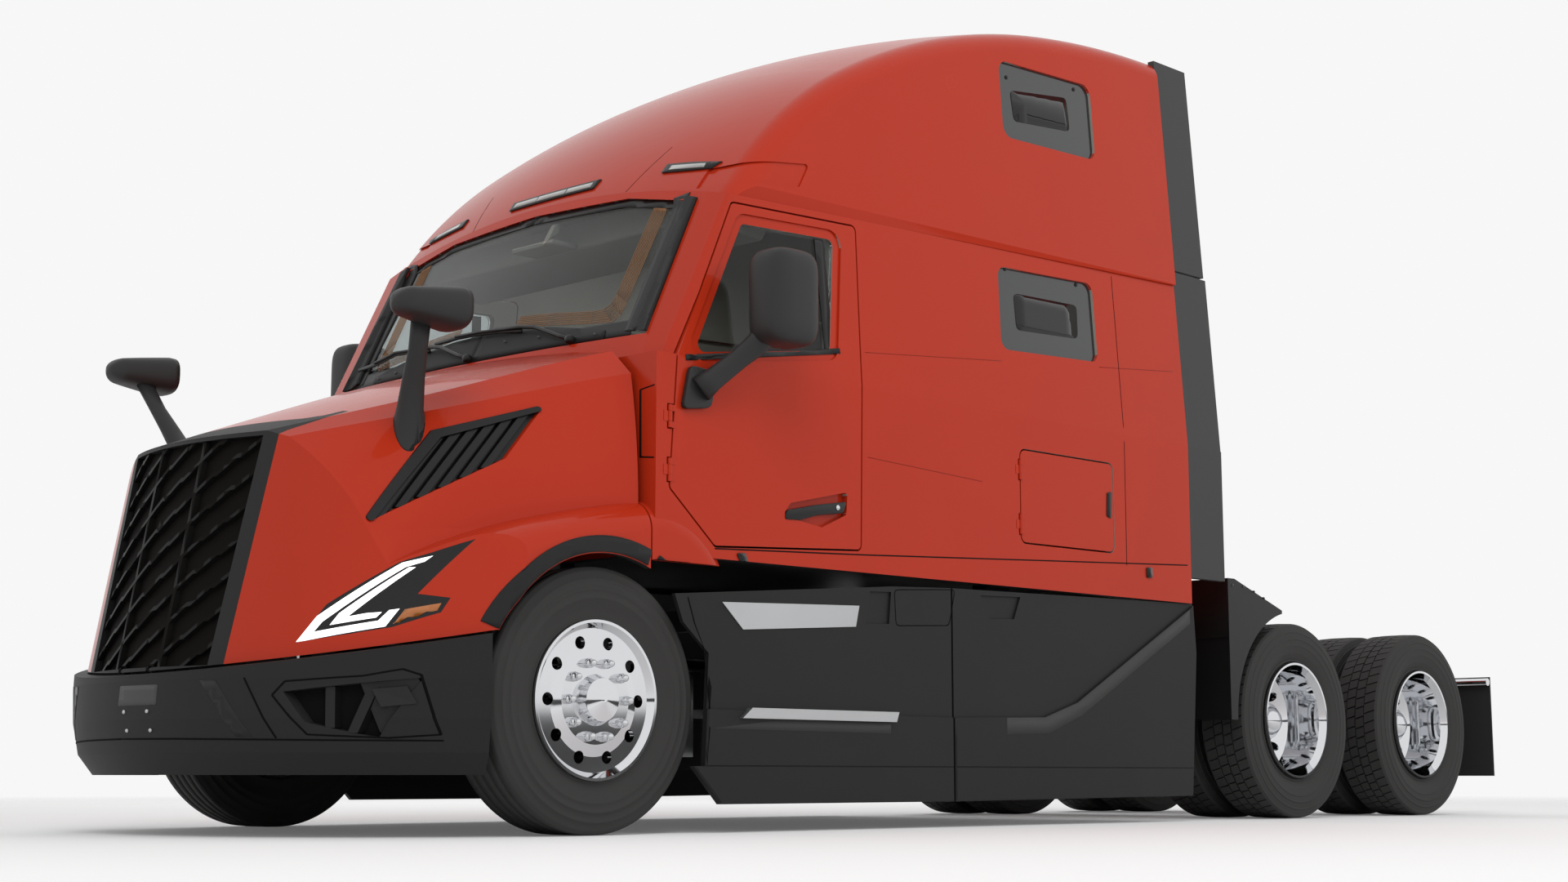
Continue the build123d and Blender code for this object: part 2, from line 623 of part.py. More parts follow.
def above_bumper():
    """Everything above the seam between hood and bumper."""
    (y0, z0), (y1, z1) = HOOD_LOWER_EDGE
    slope = (z1 - z0) / (y1 - y0)
    with BuildPart() as block:
        with BuildSketch(side(-1400)):
            with BuildLine():
                Polyline((y0 - 300, z0 - 300 * slope), (y1, z1), (3000, z1), (3000, 3000),
                         (y0 - 300, 3000), close=True)
            make_face()
        extrude(amount=2800)
    return block.part


hood_solid = hood_form(0)
with BuildPart() as hood_shell:
    add((hood_solid & above_bumper()) - hood_form(HOOD_WALL))
    add(wheel_well(ARCH_R), mode=Mode.SUBTRACT)
    add(front_prism(mirrored(SURROUND), -1400, SURROUND_REACH), mode=Mode.SUBTRACT)
    add(front_prism(HEADLAMP, -1400, 1000, 0, 0, True), mode=Mode.SUBTRACT)
    add(side_prism(VENT, 600, 1250, 0, 12.0), mode=Mode.SUBTRACT)
save(hood_shell, "hood_shell")

# The hood tilts on two pins in its lower bar, each in an eye that the frame carries
TILT_Y = -1226.0
TILT_Z = 602.0
TILT_X = 100.0
TILT_PIN_R = 6.0
TILT_EYE_R = 9.0
TILT_EYE_W = 20.0
TILT_NOTCH = TILT_EYE_W / 2 + 6.0
tilt_notches = [block(sign * (TILT_X - TILT_NOTCH), sign * (TILT_X + TILT_NOTCH), -1300.0, -1180.0, 560.0, 624.0)
                for sign in (1, -1)]

with BuildPart() as grille_surround:
    add((hood_solid - hood_form(60)) & front_prism(mirrored(SURROUND), -1400, SURROUND_REACH, SEAT_GAP)
        & above_bumper())
    add(front_prism(mirrored(GRILLE), -1400, 700), mode=Mode.SUBTRACT)
    add(tilt_notches, mode=Mode.SUBTRACT)
    for sign in (1, -1):
        ends = sorted((sign * (TILT_X - TILT_NOTCH - 14), sign * (TILT_X + TILT_NOTCH + 14)))
        add(cross_tube(TILT_PIN_R, *ends, TILT_Y, TILT_Z))
save(grille_surround, "grille_surround")

lattice_bars = []
lattice_line = [(LATTICE_COLUMN * (column - 1.5) + across, LATTICE_RISE * column + rise)
                for column in range(3) for across, rise in LATTICE_STEPS]
lattice_line.append((1.5 * LATTICE_COLUMN, 3 * LATTICE_RISE))
lowest = GRILLE[0][1] - 3 * LATTICE_RISE
while lowest < GRILLE[1][1]:
    lattice_bars.append([(x, lowest + z) for x, z in lattice_line]
                        + [(x, lowest + z - LATTICE_BAR) for x, z in reversed(lattice_line)])
    lowest += LATTICE_PITCH
for sign in (1, -1):
    x = sign * LATTICE_COLUMN / 2
    lattice_bars.append([(x - LATTICE_BAR / 2, GRILLE[0][1]), (x + LATTICE_BAR / 2, GRILLE[0][1]),
                         (x + LATTICE_BAR / 2, GRILLE[1][1]), (x - LATTICE_BAR / 2, GRILLE[1][1])])

with BuildPart() as grille:
    add((nose_block(GRILLE_DEPTH, HOOD_BASE_Z, 2100, 0) - nose_block(GRILLE_DEPTH + 20, HOOD_BASE_Z, 2100, 0)))
    add((nose_block(LATTICE_FACE, HOOD_BASE_Z, 2100, 0) - nose_block(GRILLE_DEPTH + 10, HOOD_BASE_Z, 2100, 0))
        & bars_prism(front(-600), lattice_bars, 800))
    add(front_prism(mirrored(GRILLE), -1400, 700, SEAT_GAP) & above_bumper(), mode=Mode.INTERSECT)
    add(tilt_notches, mode=Mode.SUBTRACT)
save(grille, "grille")

with BuildPart() as headlamps:
    add(((hood_solid - hood_form(LAMP_DEPTH)) & front_prism(HEADLAMP, -1400, 1000, SEAT_GAP)) & LEFT)
    mirror(about=Plane.YZ)
save(headlamps, "headlamps")

# Hood vent: a sunk mesh, slanted louvres and a proud frame along its front and upper edges
VENT_SUNK = 20.0
VENT_PROUD = 8.0
VENT_BAR = 30.0
VENT_LOUVRES = 7
vent_edges = ((VENT[0], VENT[1]), (VENT[3], VENT[2]))
vent_louvres = slanted_bars(*vent_edges, [k / VENT_LOUVRES for k in range(1, VENT_LOUVRES)], VENT_BAR)
vent_frame = [VENT[0], (VENT[0][0] + 62, VENT[0][1] + 32), (VENT[3][0] + 24, VENT[3][1] - 26),
              (VENT[2][0] - 22, VENT[2][1] - 28), VENT[2], VENT[3]]
with BuildPart() as hood_vents:
    mouth = side_prism(VENT, 600, 1250, SEAT_GAP, 12.0) & LEFT
    add((hood_form(VENT_SUNK) - hood_form(HOOD_WALL + 10)) & mouth)
    add((hood_form(SEAT_GAP) - hood_form(VENT_SUNK + 5)) & mouth & bars_prism(side(500), vent_louvres, 800))
    add((hood_form(-VENT_PROUD) - hood_form(VENT_SUNK + 5)) & mouth & bars_prism(side(500), [vent_frame], 800))
    mirror(about=Plane.YZ)
save(hood_vents, "hood_vents")

HOOD_MIRROR_BASE = (775.0, -600.0, 1535.0)
HOOD_MIRROR_HEAD = (1010.0, -700.0, 1915.0)
with BuildPart() as hood_mirrors:
    bx, by, bz = HOOD_MIRROR_BASE
    hx, hy, hz = HOOD_MIRROR_HEAD
    with BuildSketch(Plane(origin=(bx, FRONT_AXLE_Y + by, bz + 40), x_dir=(1, 0, 0), z_dir=(0, 0, 1))):
        Ellipse(45, 75)
    with BuildSketch(Plane(origin=(hx - 40, FRONT_AXLE_Y + hy, hz - 60), x_dir=(1, 0, 0), z_dir=(0, 0, 1))):
        Ellipse(26, 40)
    loft(ruled=True)
    with BuildSketch(front(hy - 150)):
        with Locations((hx, hz)):
            Ellipse(55, 45)
    with BuildSketch(front(hy - 40)):
        with Locations((hx, hz)):
            Ellipse(120, 80)
    with BuildSketch(front(hy + 130)):
        with Locations((hx, hz)):
            RectangleRounded(230, 170, 40)
    loft(ruled=True)
    add(hood_solid, mode=Mode.SUBTRACT)
    mirror(about=Plane.YZ)
save(hood_mirrors, "hood_mirrors")

# ---------------------------------------------------------------- bumper
BUMPER_R = 1343.0
BUMPER_BULGE = 6.0            # the foremost line stands this far in front of the upper edge
BUMPER_FRONT = FRONT_Y + BUMPER_BULGE
BUMPER_END_X = 1212.0
BUMPER_T = 45.0
# Profile of the bumper.  columns: distance behind the outer face, height
BUMPER_PROFILE = [(0.0, 760.0), (-BUMPER_BULGE, 560.0), (0.0, 420.0), (22.0, 300.0), (80.0, 222.0),
                  (120.0, 222.0), (70.0, 300.0), (45.0, 420.0), (45.0, 760.0)]
BUMPER_VENT = [(735.0, 512.0), (1095.0, 560.0), (985.0, 350.0), (800.0, 405.0)]
HOOD_SEAM = 9.0

bumper_centre_y = FRONT_AXLE_Y + BUMPER_FRONT + BUMPER_R
bumper_sweep = 2 * degrees(asin(BUMPER_END_X / BUMPER_R))
bumper_vent_prism = front_prism(BUMPER_VENT, -1400, 900, 0, 0, True)


def bumper_ring(profile):
    """A profile swept round the bumper's arc, cut along the hood seam."""
    with BuildPart() as ring:
        with BuildSketch(Plane(origin=(0, bumper_centre_y, 0), x_dir=(0, -1, 0), z_dir=(-1, 0, 0))):
            with BuildLine():
                Polyline(*[(BUMPER_R - depth, z) for depth, z in profile], close=True)
            make_face()
        revolve(axis=Axis((0, bumper_centre_y, 0), (0, 0, 1)), revolution_arc=bumper_sweep)
    turned = Pos(0, bumper_centre_y, 0) * Rot(0, 0, -bumper_sweep / 2) * Pos(0, -bumper_centre_y, 0) * ring.part
    return turned - Pos(0, 0, -HOOD_SEAM) * above_bumper()


with BuildPart() as bumper:
    add(bumper_ring(BUMPER_PROFILE))
    add(bumper_vent_prism, mode=Mode.SUBTRACT)
save(bumper, "bumper")

BLADE_W = 26.0
BLADE_FACE = 6.0              # depth of a blade's front behind the bumper's face
vent_blades = slanted_bars((BUMPER_VENT[3], BUMPER_VENT[2]), (BUMPER_VENT[0], BUMPER_VENT[1]), (0.36, 0.68), BLADE_W)
with BuildPart() as bumper_vents:
    mouth = front_prism(BUMPER_VENT, -1400, 900, SEAT_GAP, 0, True) & LEFT
    add(bumper_ring([(30.0, 600.0), (30.0, 330.0), (44.0, 330.0), (44.0, 600.0)]) & mouth)
    add(bumper_ring([(BLADE_FACE, 600.0), (BLADE_FACE, 330.0), (35.0, 330.0), (35.0, 600.0)])
        & mouth & bars_prism(front(-400), vent_blades, 900))
    mirror(about=Plane.YZ)
save(bumper_vents, "bumper_vents")

# ---------------------------------------------------------------- frame and what it carries
RAIL_HEIGHT = 270.0
RAIL_WEB = 10.0
RAIL_FLANGE = 90.0
RAIL_FRONT = -1040.0
RAIL_BACK = REAR_AXLES[1] + 640.0
FRAME_BOTTOM = FRAME_TOP - RAIL_HEIGHT
CROSSMEMBERS = (-690.0, 1500.0, 2700.0, 3900.0, 4330.0, WHEELBASE, RAIL_BACK - 60)
BUMPER_ARM_Z = (430.0, 550.0)
BUMPER_TIE = (-1165.0, -1150.0)


def behind_bumper(z0, z1):
    """The round space behind the bumper's inner face."""
    with BuildPart() as space:
        with BuildSketch(plan(z0)):
            with Locations((0, BUMPER_FRONT + BUMPER_R)):
                Circle(BUMPER_R - BUMPER_T - SEAT_GAP)
        extrude(amount=z1 - z0)
    return space.part


with BuildPart() as frame_rails:
    with BuildSketch(front(RAIL_BACK)):
        with BuildLine():
            inner, web = FRAME_HALF_WIDTH - RAIL_FLANGE, FRAME_HALF_WIDTH - RAIL_WEB
            Polyline((FRAME_HALF_WIDTH, FRAME_BOTTOM), (FRAME_HALF_WIDTH, FRAME_TOP), (inner, FRAME_TOP),
                     (inner, FRAME_TOP - RAIL_WEB), (web, FRAME_TOP - RAIL_WEB),
                     (web, FRAME_BOTTOM + RAIL_WEB), (inner, FRAME_BOTTOM + RAIL_WEB),
                     (inner, FRAME_BOTTOM), close=True)
        make_face()
    extrude(amount=RAIL_BACK - RAIL_FRONT)
    mirror(about=Plane.YZ)
    for station in CROSSMEMBERS:
        add(block(-web + SEAT_GAP, web - SEAT_GAP, station - 6, station + 6,
                  FRAME_BOTTOM + 2 * RAIL_WEB, FRAME_TOP - 2 * RAIL_WEB))
    # Arms that carry the bumper from the front of the rails
    for sign in (1, -1):
        add(block(sign * inner, sign * FRAME_HALF_WIDTH, RAIL_FRONT, RAIL_FRONT + 160,
                  BUMPER_ARM_Z[0], FRAME_BOTTOM - SEAT_GAP))
        add(block(sign * inner, sign * FRAME_HALF_WIDTH, FRONT_Y, RAIL_FRONT + 10, *BUMPER_ARM_Z)
            & behind_bumper(*BUMPER_ARM_Z))
        # Eye for one of the hood's two pins
        near = min(sign * (TILT_X - TILT_EYE_W / 2), sign * (TILT_X + TILT_EYE_W / 2))
        with BuildSketch(side(near)):
            with BuildLine():
                Polyline((BUMPER_TIE[1], 470.0), (BUMPER_TIE[1], 548.0), (TILT_Y + 5, TILT_Z + 6),
                         (TILT_Y - 5, TILT_Z - 6), close=True)
            make_face()
            with Locations((TILT_Y, TILT_Z)):
                Circle(TILT_EYE_R)
                Circle(TILT_PIN_R + SHAFT_CLEARANCE, mode=Mode.SUBTRACT)
        extrude(amount=TILT_EYE_W)
    add(block(-inner - 1, inner + 1, *BUMPER_TIE, *BUMPER_ARM_Z))
save(frame_rails, "frame_rails")

# Engine and the cooling pack behind the grille
ENGINE = (-340.0, 340.0, -560.0, 190.0, 760.0, 1560.0)
RADIATOR = (-420.0, 420.0, -880.0, -760.0, FRAME_TOP + SEAT_GAP, 1400.0)
with BuildPart() as engine_block:
    add(block(*ENGINE))
    for sign in (1, -1):
        add(block(sign * 300, sign * (web - SEAT_GAP), -300, -200, 800, 900))
save(engine_block, "engine_block")
with BuildPart() as radiator:
    add(block(*RADIATOR))
    add(block(-inner + 8, inner - 8, RADIATOR[2], RADIATOR[3], 700, FRAME_TOP + 1))
save(radiator, "radiator")

# Front axle: a dropped beam with an eye for each kingpin
AXLE_EYE_R = 46.0
AXLE_EYE_H = 110.0
AXLE_DROP = 95.0
BEAM_W = 90.0
BEAM_H = 100.0
KINGPIN_R = 22.0
EAR_T = 32.0
SPRING_X = 470.0
SPRING_W = 76.0
SPRING_T = 34.0
SPRING_REACH = 760.0
with BuildPart() as front_axle:
    z = STEER_TYRE_R
    with BuildSketch(front(BEAM_W / 2)):
        with BuildLine():
            Polyline(*mirrored([(560.0, z - AXLE_DROP - BEAM_H / 2), (KINGPIN_X - 60, z - BEAM_H / 2),
                                (KINGPIN_X, z - BEAM_H / 2), (KINGPIN_X, z + BEAM_H / 2),
                                (KINGPIN_X - 90, z + BEAM_H / 2),
                                (540.0, z - AXLE_DROP + BEAM_H / 2)]), close=True)
        make_face()
    extrude(amount=BEAM_W)
    for sign in (1, -1):
        with BuildSketch(plan(z - AXLE_EYE_H / 2)):
            with Locations((sign * KINGPIN_X, 0)):
                Circle(AXLE_EYE_R)
        extrude(amount=AXLE_EYE_H)
        with BuildSketch(plan(z - AXLE_EYE_H)):
            with Locations((sign * KINGPIN_X, 0)):
                Circle(KINGPIN_R + SHAFT_CLEARANCE)
        extrude(amount=2 * AXLE_EYE_H, mode=Mode.SUBTRACT)
        add(block(sign * (SPRING_X - 50), sign * (SPRING_X + 50), -80, 80,
                  z - AXLE_DROP, z - AXLE_DROP + BEAM_H / 2 + 20))
save(front_axle, "front_axle")

SPRING_SEAT = STEER_TYRE_R - AXLE_DROP + BEAM_H / 2 + 20
SPRING_EYE_Z = SPRING_SEAT + 130
with BuildPart() as leaf_springs:
    with BuildSketch(side(SPRING_X - SPRING_W / 2)):
        with BuildLine():
            ThreePointArc((-SPRING_REACH, SPRING_EYE_Z), (0, SPRING_SEAT + SEAT_GAP),
                          (SPRING_REACH, SPRING_EYE_Z))
            Line((SPRING_REACH, SPRING_EYE_Z), (SPRING_REACH, SPRING_EYE_Z + SPRING_T))
            ThreePointArc((SPRING_REACH, SPRING_EYE_Z + SPRING_T), (0, SPRING_SEAT + SPRING_T),
                          (-SPRING_REACH, SPRING_EYE_Z + SPRING_T))
            Line((-SPRING_REACH, SPRING_EYE_Z + SPRING_T), (-SPRING_REACH, SPRING_EYE_Z))
        make_face()
    extrude(amount=SPRING_W)
    for station in (-SPRING_REACH, SPRING_REACH):
        with BuildSketch(side(FRAME_HALF_WIDTH + SEAT_GAP)):
            with Locations((station, (SPRING_EYE_Z + FRAME_TOP - 60) / 2)):
                Rectangle(110, FRAME_TOP - 60 - SPRING_EYE_Z)
        extrude(amount=SPRING_X + SPRING_W / 2 - FRAME_HALF_WIDTH - SEAT_GAP)
    mirror(about=Plane.YZ)
save(leaf_springs, "leaf_springs")

# Drive axles with their differentials, and the air springs on them
AXLE_TUBE_R = 68.0
AXLE_END_X = 985.0
DIFF_R = 205.0
AIR_SPRING_R = 130.0
AIR_SPRING_OFFSET = 330.0
with BuildPart() as drive_axles:
    for station in REAR_AXLES:
        add(cross_tube(AXLE_TUBE_R, -AXLE_END_X, AXLE_END_X, station, DRIVE_TYRE_R))
        with BuildSketch(front(station)):
            with BuildLine():
                Polyline((-300, DRIVE_TYRE_R), (-260, DRIVE_TYRE_R + 90), (-110, DRIVE_TYRE_R + DIFF_R),
                         (110, DRIVE_TYRE_R + DIFF_R), (260, DRIVE_TYRE_R + 90), (300, DRIVE_TYRE_R),
                         close=True)
            make_face()
        revolve(axis=Axis((0, FRONT_AXLE_Y + station, DRIVE_TYRE_R), (1, 0, 0)))
        for sign in (1, -1):
            add(block(sign * 340, sign * 500, station - 70, station + AIR_SPRING_OFFSET + 110, 400, 445))
save(drive_axles, "drive_axles")
with BuildPart() as air_springs:
    for station in REAR_AXLES:
        for sign in (1, -1):
            with BuildSketch(plan(445 + SEAT_GAP)):
                with Locations((sign * 420, station + AIR_SPRING_OFFSET)):
                    Circle(AIR_SPRING_R)
            extrude(amount=FRAME_BOTTOM - 445 - 2 * SEAT_GAP)
save(air_springs, "air_springs")

# ---------------------------------------------------------------- wheels
# Tyre section.  columns: distance from the tyre's middle, radius short of the tread
TYRE_SECTION = [(104.0, -210.0), (TYRE_WIDTH / 2, -104.0), (122.0, -14.0), (98.0, 0.0)]
BEAD_R = 288.0


def revolve_about_axle(points, x_middle, station, height):
    """Turn a closed section, given as x from the tyre's middle and radius, about the axle."""
    with BuildPart() as ring:
        with BuildSketch(Plane(origin=(x_middle, FRONT_AXLE_Y + station, height), x_dir=(1, 0, 0),
                               z_dir=(0, -1, 0))):
            with BuildLine():
                Polyline(*points, close=True)
            make_face()
        revolve(axis=Axis((x_middle, FRONT_AXLE_Y + station, height), (1, 0, 0)))
    return ring.part


def tyre_ring(x_middle, station, radius):
    half = [(x, BEAD_R if k == 0 else radius + short) for k, (x, short) in enumerate(TYRE_SECTION)]
    return revolve_about_axle(half + [(-x, r) for x, r in reversed(half)], x_middle, station, radius)


# Steer wheel section from the outer lip inwards: barrel, bowed disc, hub with its bore.
# columns: distance outboard of the tyre's middle, radius
RIM_SEAT = BEAD_R - SEAT_GAP
HUB_BORE = SPINDLE_R + SHAFT_CLEARANCE
STEER_SECTION = [
    (-112.0, RIM_SEAT), (110.0, RIM_SEAT), (124.0, RIM_R), (135.0, RIM_R), (135.0, 288.0), (112.0, 268.0),
    (112.0, 210.0), (124.0, 165.0), (124.0, 96.0), (165.0, 80.0), (176.0, 0.0), (75.0, 0.0),
    (75.0, HUB_BORE), (-50.0, HUB_BORE), (-50.0, 100.0), (90.0, 110.0), (90.0, 262.0), (-112.0, 270.0)]
# Outer drive wheel: deep dish, its disc at the inboard end, with the axle's domed hub cover
DUAL_HALF = DUAL_SPACING / 2
AXLE_BORE = AXLE_TUBE_R + SHAFT_CLEARANCE
DRIVE_SECTION = [
    (-DUAL_HALF, 262.0 - 60), (-112.0, 268.0), (-112.0, RIM_SEAT), (110.0, RIM_SEAT), (124.0, RIM_R),
    (136.0, RIM_R), (136.0, 288.0), (100.0, 270.0), (-90.0, 268.0), (-DUAL_HALF + 26, 205.0),
    (-DUAL_HALF + 26, 112.0), (-30.0, 92.0), (-8.0, 0.0), (AXLE_END_X - OUTER_TYRE_X + 4, 0.0),
    (AXLE_END_X - OUTER_TYRE_X + 4, AXLE_BORE), (-DUAL_HALF - 130, AXLE_BORE),
    (-DUAL_HALF - 130, 100.0), (-DUAL_HALF - 26, 112.0), (-DUAL_HALF - 26, 205.0),
    (-DUAL_SPACING + 90, 262.0), (-DUAL_SPACING - 112, 270.0), (-DUAL_SPACING - 112, RIM_SEAT),
    (-DUAL_SPACING + 112, RIM_SEAT), (-DUAL_SPACING + 112, 268.0)]


def hand_holes(x_in, x_out, station, height):
    """Tools that cut the ring of hand holes through a wheel disc."""
    with BuildPart() as holes:
        with BuildSketch(side(x_in)):
            with Locations((station, height)):
                with PolarLocations(HAND_HOLE_RING, HAND_HOLES):
                    Circle(HAND_HOLE_R)
        extrude(amount=x_out - x_in)
    return holes.part


steer_tyre = tyre_ring(STEER_TYRE_X, 0, STEER_TYRE_R)
steer_wheel = (revolve_about_axle(STEER_SECTION, STEER_TYRE_X, 0, STEER_TYRE_R)
               - hand_holes(STEER_TYRE_X + 60, STEER_TYRE_X + 160, 0, STEER_TYRE_R))
EAR_Z = AXLE_EYE_H / 2 + 1.0
with BuildPart() as knuckle_form:
    for low in (-EAR_Z - EAR_T, EAR_Z):
        with BuildSketch(plan(STEER_TYRE_R + low)):
            with Locations((KINGPIN_X, 0)):
                Circle(AXLE_EYE_R)
            with Locations((KINGPIN_X + 45, 0)):
                Rectangle(90, 2 * AXLE_EYE_R)
        extrude(amount=EAR_T)
    add(block(KINGPIN_X + AXLE_EYE_R + 8, KINGPIN_X + 90, -AXLE_EYE_R, AXLE_EYE_R,
              STEER_TYRE_R - EAR_Z - EAR_T, STEER_TYRE_R + EAR_Z + EAR_T))
    with BuildSketch(plan(STEER_TYRE_R - EAR_Z - EAR_T)):
        with Locations((KINGPIN_X, 0)):
            Circle(KINGPIN_R)
    extrude(amount=2 * (EAR_Z + EAR_T))
    add(cross_tube(SPINDLE_R, KINGPIN_X + 60, STEER_TYRE_X + 70, 0, STEER_TYRE_R))

for side_name, sign in (("left", 1), ("right", -1)):
    with BuildPart() as tyre:
        add(place(steer_tyre, sign))
    save(tyre, "tyre_front_" + side_name)
    with BuildPart() as wheel:
        add(place(steer_wheel, sign))
    save(wheel, "wheel_front_" + side_name)
    with BuildPart() as knuckle:
        add(place(knuckle_form.part, sign))
    save(knuckle, "knuckle_" + side_name)
    for number, station in enumerate(REAR_AXLES, 1):
        with BuildPart() as dual_tyres:
            for x in (OUTER_TYRE_X, OUTER_TYRE_X - DUAL_SPACING):
                add(place(tyre_ring(x, station, DRIVE_TYRE_R), sign))
        save(dual_tyres, f"tyres_drive_{number}_{side_name}")
        with BuildPart() as dual_wheels:
            add(place(revolve_about_axle(DRIVE_SECTION, OUTER_TYRE_X, station, DRIVE_TYRE_R)
                      - hand_holes(OUTER_TYRE_X - DUAL_SPACING, OUTER_TYRE_X, station, DRIVE_TYRE_R), sign))
        save(dual_wheels, f"wheels_drive_{number}_{side_name}")

# ---------------------------------------------------------------- tanks, skirts and steps
SKIRT_X = 1238.0
SKIRT_T = 30.0
SKIRT_LEDGE = 12.0            # the upper part lies this far inside the lower part
SKIRT_GROOVE = 5.0
SKIRT_BOTTOM = 110.0
SKIRT_SPLIT = 1990.0
SKIRT_BACK = 3855.0
BAND_Z = 257.0                # groove above the lowest band
# Side-view outlines.  columns: station, height
FRONT_SKIRT = [(340.0, 912.0), (385.0, 805.0), (522.0, 690.0), (500.0, BAND_Z), (440.0, BAND_Z - 2),
               (585.0, SKIRT_BOTTOM), (SKIRT_SPLIT - 6, SKIRT_BOTTOM), (SKIRT_SPLIT - 6, 1030.0), (1598.0, 1014.0)]
REAR_SKIRT = [(SKIRT_SPLIT + 6, SKIRT_BOTTOM), (SKIRT_BACK - 60, SKIRT_BOTTOM + 14), (SKIRT_BACK, 820.0),
              (SKIRT_BACK - 18, 1062.0), (SKIRT_SPLIT + 6, 1030.0)]
# What lies above the ledge of each panel: level on the front one, climbing on the rear one
FRONT_UPPER = [(0.0, 476.0), (SKIRT_SPLIT, 468.0), (SKIRT_SPLIT, 2000.0), (0.0, 2000.0)]
REAR_UPPER = [(SKIRT_SPLIT, 468.0), (2625.0, 483.0), (2872.0, 555.0), (3860.0, 1064.0), (3860.0, 2000.0),
              (SKIRT_SPLIT, 2000.0)]
GRIP_POCKETS = [[(1458.0, 985.0), (1432.0, 848.0), (1578.0, 854.0), (1592.0, 990.0)],
                [(2187.0, 1010.0), (2250.0, 908.0), (2425.0, 916.0), (2472.0, 1018.0)]]
POCKET_SUNK = 9.0
# Noses of the steps, let into the front skirt.  columns: station, height
STEP_NOSES = [[(590.0, 893.0), (1388.0, 921.0), (1366.0, 832.0), (706.0, 790.0)],
              [(735.0, 484.0), (1606.0, 484.0), (1590.0, 442.0), (680.0, 442.0)]]
TANK_R = 300.0
TANK_X = 850.0
TANK_Z = 610.0
BRACKET_T = 50.0
# Brackets from the rail to the skirts.  columns: station, and whether it also cradles the tank
BRACKETS = [(612.0, False), (1635.0, False), (1900.0, False), (2085.0, True), (3760.0, True)]
TANK_ENDS = (BRACKETS[3][0] + BRACKET_T / 2 + SEAT_GAP, BRACKETS[4][0] - BRACKET_T / 2 - SEAT_GAP)
BRACKET_ARM_H = 85.0
STEP_T = 34.0
STEP_IN = 1020.0
STEP_FACES = (SKIRT_X - 8.0, SKIRT_X + 18.0)  # width of each nose's outer face
# Step treads.  columns: first and last station, top height
STEPS = [(BRACKETS[0][0] + BRACKET_T / 2 + SEAT_GAP, 1410.0, 905.0),
         (BRACKETS[0][0] + BRACKET_T / 2 + SEAT_GAP, BRACKETS[1][0] - BRACKET_T / 2 - SEAT_GAP, 478.0)]

with BuildPart() as side_skirts:
    for outline, upper in ((FRONT_SKIRT, FRONT_UPPER), (REAR_SKIRT, REAR_UPPER)):
        with BuildPart(mode=Mode.PRIVATE) as panel:
            add(bars_prism(side(SKIRT_X - SKIRT_T), [outline], SKIRT_T))
            lower_edges = panel.faces().sort_by(Axis.X)[-1].edges()
            chamfer(lower_edges, 6.0)
            add(bars_prism(side(SKIRT_X - SKIRT_LEDGE), [upper], SKIRT_T), mode=Mode.SUBTRACT)
        add(panel.part)
    add(block(SKIRT_X - SKIRT_GROOVE, SKIRT_X + 1, 0, SKIRT_BACK + 50, BAND_Z - 3, BAND_Z + 3), mode=Mode.SUBTRACT)
    add(bars_prism(side(SKIRT_X - SKIRT_LEDGE - POCKET_SUNK), GRIP_POCKETS, SKIRT_T), mode=Mode.SUBTRACT)
    add(bars_prism(side(SKIRT_X - 2 * SKIRT_T), STEP_NOSES, 4 * SKIRT_T), mode=Mode.SUBTRACT)
    mirror(about=Plane.YZ)
save(side_skirts, "side_skirts")

with BuildPart() as fuel_tanks:
    with BuildSketch(front(TANK_ENDS[1])):
        with Locations((TANK_X, TANK_Z)):
            Circle(TANK_R)
    extrude(amount=TANK_ENDS[1] - TANK_ENDS[0])
    mirror(about=Plane.YZ)
save(fuel_tanks, "fuel_tanks")

with BuildPart() as side_brackets:
    rail, skirt = FRAME_HALF_WIDTH + SEAT_GAP, SKIRT_X - SKIRT_T - SEAT_GAP
    for station, cradle in BRACKETS:
        near, far = station - BRACKET_T / 2, station + BRACKET_T / 2
        arm_top = STEPS[0][2] - STEP_T - SEAT_GAP
        add(block(rail, skirt, near, far, arm_top - BRACKET_ARM_H, arm_top))
        add(block(rail, rail + 50, near, far, FRAME_BOTTOM, FRAME_TOP - 20))
        add(block(skirt - 60, skirt, near, far, 250, arm_top))
        if cradle:
            add(block(rail, rail + 50, near, far, 250, FRAME_BOTTOM))
            add(block(rail, skirt, near, far, 250, TANK_Z - TANK_R))
    mirror(about=Plane.YZ)
save(side_brackets, "side_brackets")

with BuildPart() as step_treads:
    for (first, last, height), nose, face in zip(STEPS, STEP_NOSES, STEP_FACES):
        add(block(STEP_IN, SKIRT_X - SKIRT_T, first, last, height - STEP_T, height))
        with BuildSketch(side(SKIRT_X - SKIRT_T)):
            with BuildLine():
                Polyline(*nose, close=True)
            make_face()
            offset(amount=-SEAT_GAP, kind=Kind.INTERSECTION)
        extrude(amount=face - SKIRT_X + SKIRT_T)
    mirror(about=Plane.YZ)
save(step_treads, "step_treads")

# ---------------------------------------------------------------- behind the cab
EXTENDER_T = 36.0
EXTENDER_SPLIT = 2750.0
# Edges of the extender.  columns: height, back station, half width of its outer face
EXTENDER = [(1190.0, 4120.0, 1238.0), (1850.0, 4115.0, 1238.0), (EXTENDER_SPLIT, 4100.0, 1174.0),
            (3880.0, 4080.0, 1092.0)]

